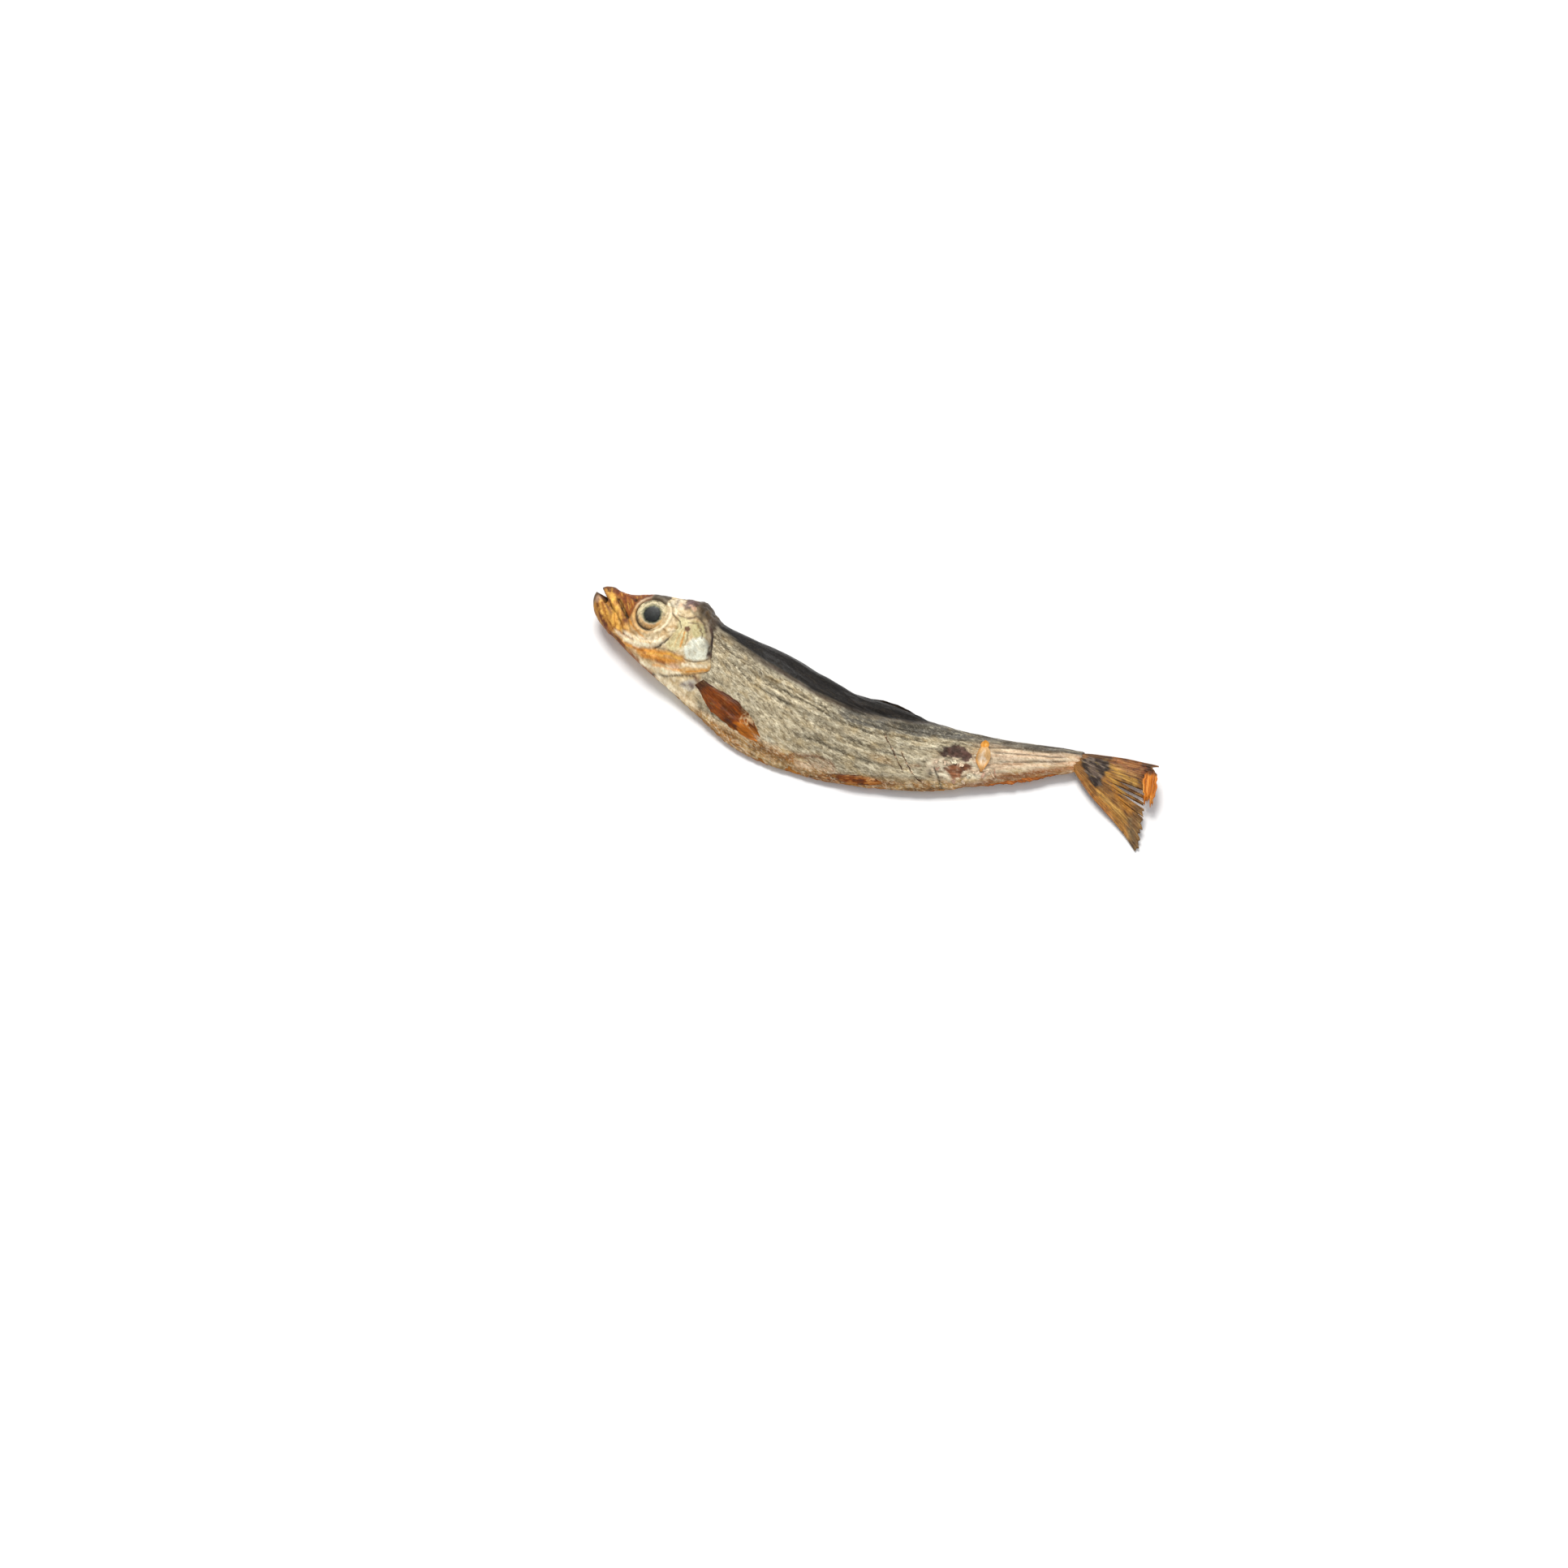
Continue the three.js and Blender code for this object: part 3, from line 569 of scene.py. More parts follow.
def closed_sheet(front, back):
    """Points and faces of a thin sheet from its two faces, each a grid of the same size: the grids are
    joined round their rims."""
    rows, columns = front.shape[:2]
    count = rows * columns
    index = np.arange(count).reshape(rows, columns)
    faces = grid_quads(rows, columns, False)
    rim = np.concatenate([index[0, :-1], index[:-1, -1], index[-1, :0:-1], index[:0:-1, 0]])
    ahead = np.roll(rim, -1)
    rims = np.stack([rim, rim + count, ahead + count, ahead], -1)
    quads = np.vstack([faces, faces[:, ::-1] + count, rims])
    return np.vstack([front.reshape(-1, 3), back.reshape(-1, 3)]), quads


def sheet_grid(rows, columns):
    """A grid of r from 0 to 1 down the rows and q from -0.5 to 0.5 across the columns."""
    return np.meshgrid(np.linspace(0, 1, rows), np.linspace(-0.5, 0.5, columns), indexing="ij")


def put_sheets(name, sheets, material):
    """One piece from thin closed sheets. Each is given by five grids: the points of its upper and of its
    lower face, its colours, and the millimetres across and along it that the material goes by."""
    points, quads, tints, fin_mm, start = [], [], [], [], 0
    for upper, lower, tint, across, along in sheets:
        sheet_points, sheet_quads = closed_sheet(upper, lower)
        points.append(sheet_points)
        quads.append(sheet_quads + start)
        start += len(sheet_points)
        tints += [tint.reshape(-1, 3)] * 2
        fin_mm += [np.stack([across, along, 0 * across], -1).reshape(-1, 3)] * 2
    put_mesh(name, np.vstack(points), np.vstack(quads), material, fin_mm=np.vstack(fin_mm),
             fin_colour=np.vstack(tints))


def sheet_piece(name, place_face, grid, colour, width, length, material):
    """One thin closed sheet of about that width and length: q runs across from -0.5 to 0.5, r from 0 at
    the root to 1 at the free edge, and place_face gives the points of its upper face (0.5) and its lower
    one (-0.5)."""
    r, q = sheet_grid(*grid)
    sheet = (place_face(q, r, 0.5), place_face(q, r, -0.5), colour(q, r), q * width, r * length)
    put_sheets(name, [sheet], material)


# ---------------------------------------------------------------- colours
NEAR_BLACK = 0.002


def srgb(red, green, blue):
    """A colour given as 0 to 255, as a linear one."""
    c = np.array([red, green, blue]) / 255
    return np.where(c <= 0.04045, c / 12.92, ((c + 0.055) / 1.055) ** 2.4)


def between(first, second, share):
    """The first tone where the share is 0, the second where it is 1, and eased from one to the other."""
    return mix(first, second, ease(share)[..., None])


def paint(colour, share, tone):
    """Lays a tone over a colour in the share given at each point."""
    return mix(colour, tone, np.clip(share, 0, 1)[..., None])


def coats(colour, *layers):
    """Lays several tones over a colour, one on the other, each given as its share and its tone."""
    for share, tone in layers:
        colour = paint(colour, share, tone)
    return colour


def shade(colour, factor):
    """Makes a colour lighter or darker by a factor at each point."""
    return colour * np.asarray(factor)[..., None]


def within(colour):
    """Holds a colour between near black and white."""
    return np.clip(colour, NEAR_BLACK, 1)


def colour_property(name, description, tone):
    """A colour that a user can set."""
    return FloatVectorProperty(name=name, description=description, subtype="COLOR", size=3, min=0, max=1,
                               default=tone.tolist())


class FishColours(bpy.types.PropertyGroup):
    """The colours of the fish."""

    back: colour_property("Back", "Near black of the back", srgb(30, 26, 23))
    blue: colour_property("Rear back", "Grey blue behind the dark of the back", srgb(92, 91, 88))
    flank: colour_property("Flank", "Pale silver of the flank", srgb(200, 191, 168))
    gaps: colour_property("Flank gaps", "Grey brown between the flecks of the flank", srgb(108, 96, 76))
    honey: colour_property("Honey", "Yellow tint of the smoke on the flank and head", srgb(198, 168, 110))
    belly: colour_property("Belly", "Golden brown of the belly", srgb(180, 122, 50))
    rust: colour_property("Rust", "Orange brown of fins and edges", srgb(142, 76, 26))
    plum: colour_property("Plum", "Purple brown of scars and bare flesh", srgb(82, 58, 52))
    cream: colour_property("Cream", "Cream of cheeks and torn skin", srgb(239, 229, 202))
    silver: colour_property("Gill cover", "Blue silver of the gill covers", srgb(222, 224, 206))
    stock: colour_property("Tail stock", "Pinkish beige before the tail fin", srgb(238, 208, 178))
    eye_ring: colour_property("Eye ring", "Pale gold round the pupil", srgb(224, 210, 168))
    pupil: colour_property("Pupil", "Dark slate of the pupil", srgb(26, 31, 28))
    membrane: colour_property("Fin membrane", "Golden brown of the thin fins", srgb(150, 106, 54))


class FishSizes(bpy.types.PropertyGroup):
    """The sizes that change how the skin looks, within the fixed outer shape."""

    wrinkle: FloatProperty(name="Wrinkle depth",
                           description="How strongly the fine wrinkles and flecks stand out, 1 as dried",
                           default=1.0, min=0.0, max=2.0, subtype="FACTOR")
    ray_height: FloatProperty(name="Fin ray height", description="How far the rays stand out of the fins",
                              default=0.00012, min=0.0, max=0.0004, unit="LENGTH", subtype="DISTANCE",
                              precision=5)
    scute_height: FloatProperty(name="Scute height",
                                description="How far the scutes stand out of the belly edge",
                                default=0.00016, min=0.0, max=0.001, unit="LENGTH", subtype="DISTANCE",
                                precision=5)
    pupil_share: FloatProperty(name="Pupil", description="Radius of the pupil as a share of the eye's",
                               default=0.56, min=0.3, max=0.8, subtype="FACTOR")


def colours():
    """The colours set by the user, as arrays."""
    group = bpy.context.scene.smoked_fish_colours
    return SimpleNamespace(**{key: np.array(getattr(group, key)) for key in FishColours.__annotations__})


def sizes():
    """The sizes set by the user."""
    return bpy.context.scene.smoked_fish_sizes


# ---------------------------------------------------------------- materials
class Nodes:
    """A short hand for building a material's nodes."""

    def __init__(self, name):
        """Starts a material from its shader alone."""
        self.material = bpy.data.materials.new(name)
        self.material.use_nodes = True
        self.tree = self.material.node_tree
        self.shader = self.tree.nodes["Principled BSDF"]

    def fill(self, node, inputs):
        """Puts another node's output, a number, a vector or a colour into each of a node's inputs."""
        for key, value in inputs.items():
            socket = node.inputs[key]
            if isinstance(value, bpy.types.NodeSocket):
                self.tree.links.new(value, socket)
            elif np.ndim(value):
                socket.default_value = [*map(float, value), 1.0][:len(socket.default_value)]
            else:
                socket.default_value = value

    def add(self, kind, inputs=None, **settings):
        """A new node with its settings and inputs."""
        node = self.tree.nodes.new(kind)
        for key, value in settings.items():
            setattr(node, key, value)
        self.fill(node, inputs or {})
        return node

    def attribute(self, name, output="Fac"):
        """An attribute of the mesh's points."""
        return self.add("ShaderNodeAttribute", attribute_name=name).outputs[output]

    def noise(self, where, scale, detail=3.0, rough=0.55, warp=0.0):
        """Cloudy noise about 0.5; three scales in place of one stretch it."""
        if np.ndim(scale):
            where = self.add("ShaderNodeMapping", {"Vector": where, "Scale": scale}).outputs["Vector"]
            scale = 1.0
        inputs = {"Vector": where, "Scale": scale, "Detail": detail, "Roughness": rough, "Distortion": warp}
        return self.add("ShaderNodeTexNoise", inputs).outputs["Fac"]

    def span(self, value, low, high, to_low=0.0, to_high=1.0):
        """to_low where the value is low or beyond, to_high where it is high or beyond, straight between."""
        inputs = {"Value": value, "From Min": low, "From Max": high, "To Min": to_low, "To Max": to_high}
        return self.add("ShaderNodeMapRange", inputs, clamp=True).outputs["Result"]

    def math(self, kind, a, b):
        """Two values joined by a sum of that kind."""
        return self.add("ShaderNodeMath", {0: a, 1: b}, operation=kind).outputs[0]

    def times(self, a, b):
        """a times b."""
        return self.math("MULTIPLY", a, b)

    def plus(self, a, b):
        """a and b together."""
        return self.math("ADD", a, b)

    def less(self, a, b):
        """a less b."""
        return self.math("SUBTRACT", a, b)

    def blend(self, share, a, b, kind="MIX"):
        """Colour a with colour b laid over it in that share."""
        return self.add("ShaderNodeMix", {0: share, 6: a, 7: b}, data_type="RGBA", blend_type=kind).outputs[2]

    def vary(self, share, colour, value, low, high, dark, light):
        """The colour times one that goes from dark to light as the value goes from low to high."""
        return self.blend(share, colour, self.blend(self.span(value, low, high), dark, light), "MULTIPLY")

    def bump(self, height, distance, strength):
        """The normal of a surface raised by height."""
        inputs = {"Height": height, "Distance": distance, "Strength": strength}
        return self.add("ShaderNodeBump", inputs).outputs["Normal"]

    def finish(self, **inputs):
        """Fills the shader's inputs and gives the material."""
        self.fill(self.shader, {key.replace("_", " "): value for key, value in inputs.items()})
        return self.material


def smoked_skin_material(name, tones):
    """Dried fish skin: the painted colour, broken on the flank by specks in slanted rows, whose cream tops
    and grey brown gaps are partly painted highlight and shade, by thin lines and by dark wrinkles whose dark
    is painted shade, and on the head by soft blotches, with a satin sheen that is glossier on the back."""
    n = Nodes(name)
    where = n.attribute("fish_mm", "Vector")
    flecked, lined, gloss, silver = (n.attribute(key) for key in ("flecked", "lined", "gloss", "silver"))
    specks = n.noise(where, (1.05, 2.4, 2.4), 3.0, 0.62, 0.35)
    rows = n.noise(where, (2.6, 5.4, 5.4), 2.0, 0.6, 0.3)
    lines = n.noise(where, (0.62, 2.5, 2.5), 3.0, 0.62, 0.9)
    folds = n.noise(where, (0.27, 0.95, 0.95), 4.0, 0.62, 1.4)
    mottle = n.noise(where, (0.55, 1.15, 1.15), 4.0, 0.66, 0.9)
    patches = n.noise(where, (0.35, 0.7, 0.7), 2.0)
    blobs = n.noise(where, 1.35, 3.0, 0.62, 0.4)
    grit = n.noise(where, 6.5, 2.0, 0.6)
    smooth = n.less(1.0, lined)
    colour = n.attribute("skin_colour", "Color")
    # The specks share their noise with the bump: cream on their raised tops and grey brown between them are
    # partly painted highlight and shade.
    for value, low, high, most, tone in (
        (specks, 0.51, 0.68, 0.62, tones.cream),
        (specks, 0.48, 0.30, 0.70, tones.gaps),
        (rows, 0.54, 0.70, 0.45, tones.cream),
        (rows, 0.46, 0.30, 0.50, tones.gaps * 0.6),
        (patches, 0.52, 0.72, 0.34, tones.honey),
    ):
        colour = n.blend(n.times(n.span(value, low, high, 0.0, most), flecked), colour, tone)
    colour = n.vary(lined, colour, lines, 0.30, 0.70, (0.74, 0.71, 0.67), (1.16, 1.16, 1.15))
    colour = n.vary(n.times(lined, flecked), colour, mottle, 0.36, 0.62, (0.74, 0.70, 0.62),
                    (1.12, 1.13, 1.12))
    # Painted shade in the fine cracks, which the bump also sinks.
    crack = n.span(n.math("ABSOLUTE", n.less(folds, 0.5), 0.0), 0.0, 0.028, 1.0, 0.0)
    crack = n.times(n.times(crack, n.span(lines, 0.58, 0.42)), lined)
    colour = n.blend(n.times(crack, 0.5), colour, tones.gaps * 0.5)
    colour = n.vary(smooth, colour, blobs, 0.30, 0.62, (0.72, 0.62, 0.50), (1.10, 1.10, 1.10))
    gritty = n.plus(0.45, n.times(lined, 0.55))
    colour = n.vary(gritty, colour, grit, 0.3, 0.7, (0.82, 0.81, 0.79), (1.13, 1.13, 1.13))
    height = n.plus(n.times(n.times(specks, flecked), 0.55), n.times(grit, 0.12))
    height = n.plus(height, n.times(n.times(lines, lined), 0.45))
    height = n.plus(height, n.times(n.times(blobs, smooth), 0.60))
    height = n.less(height, n.times(crack, 0.14))
    roughness = n.less(n.span(specks, 0.3, 0.7, 0.60, 0.42), n.times(gloss, 0.10))
    return n.finish(Base_Color=colour, Roughness=roughness, Normal=n.bump(height, 0.00024, 0.85),
                    Metallic=n.times(silver, 0.20), Specular_IOR_Level=0.17)


def fin_material(name, tones, fibrous=1.0):
    """A dried fin: the painted colour with darker fibres along the rays and a waxy gloss; less fibrous
    for a flake of bare skin."""
    n = Nodes(name)
    where = n.attribute("fin_mm", "Vector")
    fibres = n.noise(where, (4.6, 0.45, 1.0), 3.0, 0.6, 0.6)
    blotches = n.noise(where, (1.5, 0.75, 1.0), 3.0, 0.6, 0.3)
    grit = n.noise(where, 5.0, 2.0, 0.6)
    colour = n.attribute("fin_colour", "Color")
    colour = n.vary(fibrous, colour, fibres, 0.32, 0.68, (0.52, 0.44, 0.36), (1.28, 1.24, 1.14))
    colour = n.blend(n.span(blotches, 0.54, 0.70, 0.0, 0.34 * fibrous), colour, tones.honey * 0.9)
    colour = n.blend(n.span(blotches, 0.46, 0.32, 0.0, 0.60 * fibrous), colour, tones.plum * 0.5)
    colour = n.vary(1.0, colour, grit, 0.3, 0.7, (0.84, 0.82, 0.80), (1.10, 1.10, 1.10))
    height = n.plus(n.times(fibres, 0.7 * fibrous), n.times(blotches, 0.3))
    return n.finish(Base_Color=colour, Roughness=n.span(blotches, 0.3, 0.7, 0.38, 0.58),
                    Normal=n.bump(height, 0.00016, 0.7), Specular_IOR_Level=0.20)


def eye_material(name, tones, pupil):
    """An eye by its reach from the middle: dark pupil with a cloudy bloom and a soft edge, pale gold ring
    that turns orange on its lower side, a fine dark outline that is painted shadow where the eye meets its
    socket, strongest on its lower side, and the brow's painted shadow across the top of the ring, under a
    thin gloss."""
    n = Nodes(name)
    low, where = n.attribute("eye_low"), n.attribute("fish_mm", "Vector")
    wobble = n.times(n.less(n.noise(where, 1.4, 3.0, 0.65), 0.5), 0.22)
    at = n.plus(n.attribute("eye_reach"), wobble)
    fine = n.noise(where, 4.2, 3.0, 0.6)
    wide = n.noise(where, 1.5, 2.0)
    dark = n.blend(n.span(wide, 0.42, 0.70), tones.pupil * 0.35, tones.pupil * 1.2)
    dark = n.blend(n.span(fine, 0.58, 0.75, 0.0, 0.45), dark, tones.gaps * 0.6)
    ring = n.blend(n.span(low, -0.3, 0.9, 0.0, 0.9), tones.eye_ring, srgb(204, 150, 84))
    ring = n.blend(n.span(fine, 0.48, 0.70, 0.0, 0.55), ring, tones.honey * 0.9)
    ring = n.blend(n.span(wide, 0.52, 0.34, 0.0, 0.65), ring, tones.gaps)
    inner = n.blend(n.span(at, pupil + 0.16, pupil + 0.02), ring, srgb(132, 130, 100))
    colour = n.blend(n.span(at, pupil - 0.07, pupil + 0.07), dark, inner)
    # rim: painted shadow where the eye meets its socket, strongest on the lower side.
    rim = n.times(n.span(at, 0.84, 0.97), n.span(low, -0.8, 0.4, 0.0, 0.8))
    colour = n.blend(rim, colour, srgb(66, 48, 32))
    # Painted shadow of the brow across the top of the ring.
    brow_shadow = n.times(n.span(at, 0.80, 0.95), n.span(low, -0.70, -0.95))
    colour = n.blend(n.times(brow_shadow, 0.85), colour, srgb(84, 70, 50))
    return n.finish(Base_Color=colour, Roughness=n.span(fine, 0.3, 0.8, 0.28, 0.45),
                    Normal=n.bump(fine, 0.00005, 0.25), Specular_IOR_Level=0.2, Coat_Weight=0.03,
                    Coat_Roughness=0.2)


# ---------------------------------------------------------------- painting the skin
def skin_colour(s, v, u, parts, relief, tones):
    """The colour of the skin: the zones one over the other, among them a painted highlight under the dark
    back, painted shade on the upper flank, in the long creases and in the mouth, and flecks partly lit by
    paint; then painted shade in the relief's valleys and painted highlight on its crests, and a painted
    gradient of light and shade over the flank; then the scar and its torn rim."""
    ragged = ragged_grain(s, v, u)
    patches = cloud(s / 6, v / 2.4, u / 2.4, 91)
    flecks = fleck_grain(s, v, u)
    fine = streaks(s, v, u, 1.5, 0.3, 97, 2)
    lines = streaks(s, v, u, 4.6, 0.42, 95, 3)
    wide_lines = streaks(s, v, u, 7.0, 0.85, 93, 3)
    upper = ease((v + 0.5) / 4.0)
    shoulder = ease((s - 22) / 3) * ease((40 - s) / 14)
    # glint: a painted highlight, a pale line along the flank just under the dark of the back.
    glint = bell((v - 0.68 * dark_edge(s)) / 0.5) * ease((s - 24) / 4) * ease((62 - s) / 8)
    # rear_light: the rear flank under the dark back; its cream streaks are painted highlight, its orange
    # brown patches the skin's own tone.
    rear_light = ease((s - 52) / 10) * ease((78 - s) / 10) * ease((dark_edge(s) - v) / 2)
    pinkish = ease((s - 66) / 10) * ease((1.4 - v) / 1.6)
    gold = between(tones.belly, tones.honey, ragged * 1.4 + 0.25)
    near_belly = ease((level(s, BELLY_EDGE) - v - 1.1 + 1.1 * ragged) / 0.9)
    rust_edge = near_belly * (0.45 + 0.55 * ease((s - 47) / 5))
    edge_tone = between(tones.rust, srgb(198, 134, 62), flecks * 1.6 + 0.3)
    colour = coats(
        tones.flank,
        (0.28 + 0.6 * patches, mix(tones.flank, tones.honey, 0.6)),
        # Cream on the raised flecks and grey brown between them: the flecks' own colour, partly painted
        # highlight and shade, as they share their grain with the relief.
        (0.40 * ease(-flecks * 1.8) + 0.22 * ease(-fine * 1.8), tones.gaps),
        (0.4 * ease(flecks * 1.6) + 0.2 * ease(fine * 1.6), tones.cream),
        # Grey brown lines, more on the upper flank, and painted shade over the upper flank at the shoulder.
        ((0.2 + 0.40 * upper) * ease(lines * 1.8) + 0.60 * shoulder * upper, tones.gaps),
        (0.5 * upper * ease(wide_lines * 2.2 - 0.2), tones.gaps * 0.8),
        (0.6 * ease(-wide_lines * 2.2 - 0.15) * (1 - 0.5 * shoulder), mix(tones.cream, tones.flank, 0.3)),
        (0.55 * glint * ease(0.6 - lines), tones.cream),
        (0.38 * rear_light * ease(0.4 - lines), tones.cream),
        (0.30 * rear_light * ease(patches * 2.2 - 0.3), srgb(206, 152, 92)),
        (parts.stock * (0.82 + 0.25 * patches), tones.stock),
        (0.16 * parts.stock * ease(lines * 1.8), tones.gaps * 1.2),
        (0.5 * parts.stock * ease(-lines * 1.8), tones.cream),
        (0.6 * pinkish * ease(lines * 1.5 + 0.3), srgb(208, 158, 118)),
        (parts.belly * 0.92, gold),
        (parts.belly * 0.55 * ease(flecks * 2.2 - 0.2), tones.cream),
        (parts.belly * 0.6 * ease(-patches * 2.4 - 0.1) * ease((s - 26) / 6), tones.belly * 0.55),
        (0.8 * rust_edge * ease(0.9 + 1.2 * patches), edge_tone),
    )
    for corners, width, tone, strength in BELLY_MARKS:
        colour = paint(colour, strength * stroke(s + 0.5 * ragged, v + 0.35 * patches, corners, width),
                       getattr(tones, tone))
    grey = between(tones.blue * 1.05, tones.blue * 0.30, lines * 1.6 + 0.35)
    rim = bell((v - dark_edge(s) + 0.2 + 0.3 * ragged) / 0.40) * ease((s - 28) / 8) * (1 - 0.6 * parts.blue)
    dark = between(tones.back * 0.7, tones.back * 2.4, streaks(s, v, u, 9.0, 0.45, 99) * 1.8 - 0.5)
    end = ease((s - 91.5 + 0.8 * ragged) / 2.5)
    colour = coats(
        colour,
        (0.94 * parts.blue, grey),
        (0.5 * parts.blue * ease(-wide_lines * 2.5 - 0.3), tones.flank * 0.8),
        (0.8 * rim, tones.plum * 0.85),
        (parts.dark, dark),
        # Painted shade in the long creases.
        (0.7 * np.minimum(1, parts.creases), tones.gaps * 0.45),
        (0.7 * end * ease((0.9 - v) / 1.2), between(srgb(208, 140, 84), tones.stock, flecks * 2 + 0.3)),
        (0.85 * ease((s - 94.6 + 0.5 * ragged) / 0.6) * ease((v + 0.7) / 0.6), srgb(62, 54, 52)),
    )
    colour = head_colour(colour, s, v, u, parts.head, tones)
    # Painted shade in the relief's hollows and painted highlight on its crests; broad is an uneven tone of
    # the trunk.
    hollow = np.clip(-relief / 0.14, 0, 1) * (1 - parts.mouth_gap)
    broad = cloud(s / 9, v / 3.2, u / 3.2, 101, 2)
    colour = shade(colour, 1 - 0.42 * hollow * (1 - 0.72 * parts.stock)
                   + 0.16 * np.clip(relief / 0.14, 0, 1) + 0.16 * broad * parts.trunk)
    # A painted gradient of light and shade: shade under the dark of the back and on the waist, light on the
    # breast.
    under_back = ease((v - 0.30 * dark_edge(s)) / 3.0) * ease((62 - s) / 12)
    breast = bell((s - 35) / 8) * ease((1.5 - v) / 2.5)
    waist = ease((s - 42) / 7) * ease((74 - s) / 10) * (1 - parts.stock)
    light = 0.14 * breast - 0.32 * under_back - 0.11 * waist
    colour = shade(colour, 1 + parts.trunk * (1 - parts.dark) * light)
    shreds = cloud(s / 0.7, v / 0.55, u / 0.6, 61)
    torn = between(tones.stock, tones.cream, shreds * 2 + 0.4)
    raw = between(srgb(100, 56, 38), srgb(156, 98, 64), ragged * 1.5 + 0.4)
    colour = coats(
        colour,
        (0.8 * parts.torn * ease(shreds * 1.5 + 0.65), torn),
        (0.5 * parts.torn * ease(-shreds * 2.5 - 0.2), tones.gaps * 0.6),
        (0.95 * parts.red_scar * ease(1.0 - shreds), raw),
        (0.97 * parts.scar, shade(tones.plum, mix(0.6, 1.7, ease(shreds * 1.8 + 0.3)))),
        (0.95 * parts.third_scratch, srgb(54, 44, 34)),
        # Painted shade inside the open mouth.
        (parts.mouth_gap, tones.plum * 0.25),
    )
    return within(colour)


# Tones of the head's marks, beside those that a user can set.
HEAD_TONES = {
    "gold": srgb(192, 130, 44), "bright": srgb(238, 184, 84), "ember": srgb(98, 50, 30),
    "dusk": srgb(80, 66, 54), "brow": srgb(66, 56, 44), "olive": srgb(186, 180, 128),
    "straw": srgb(214, 204, 156), "purple": srgb(104, 84, 86), "line": srgb(92, 70, 46),
    "orange": srgb(222, 150, 58), "rose": srgb(226, 184, 152), "tan": srgb(208, 164, 102),
    "ash": srgb(206, 196, 172), "silver": srgb(196, 190, 176), "amber": srgb(138, 76, 24),
}

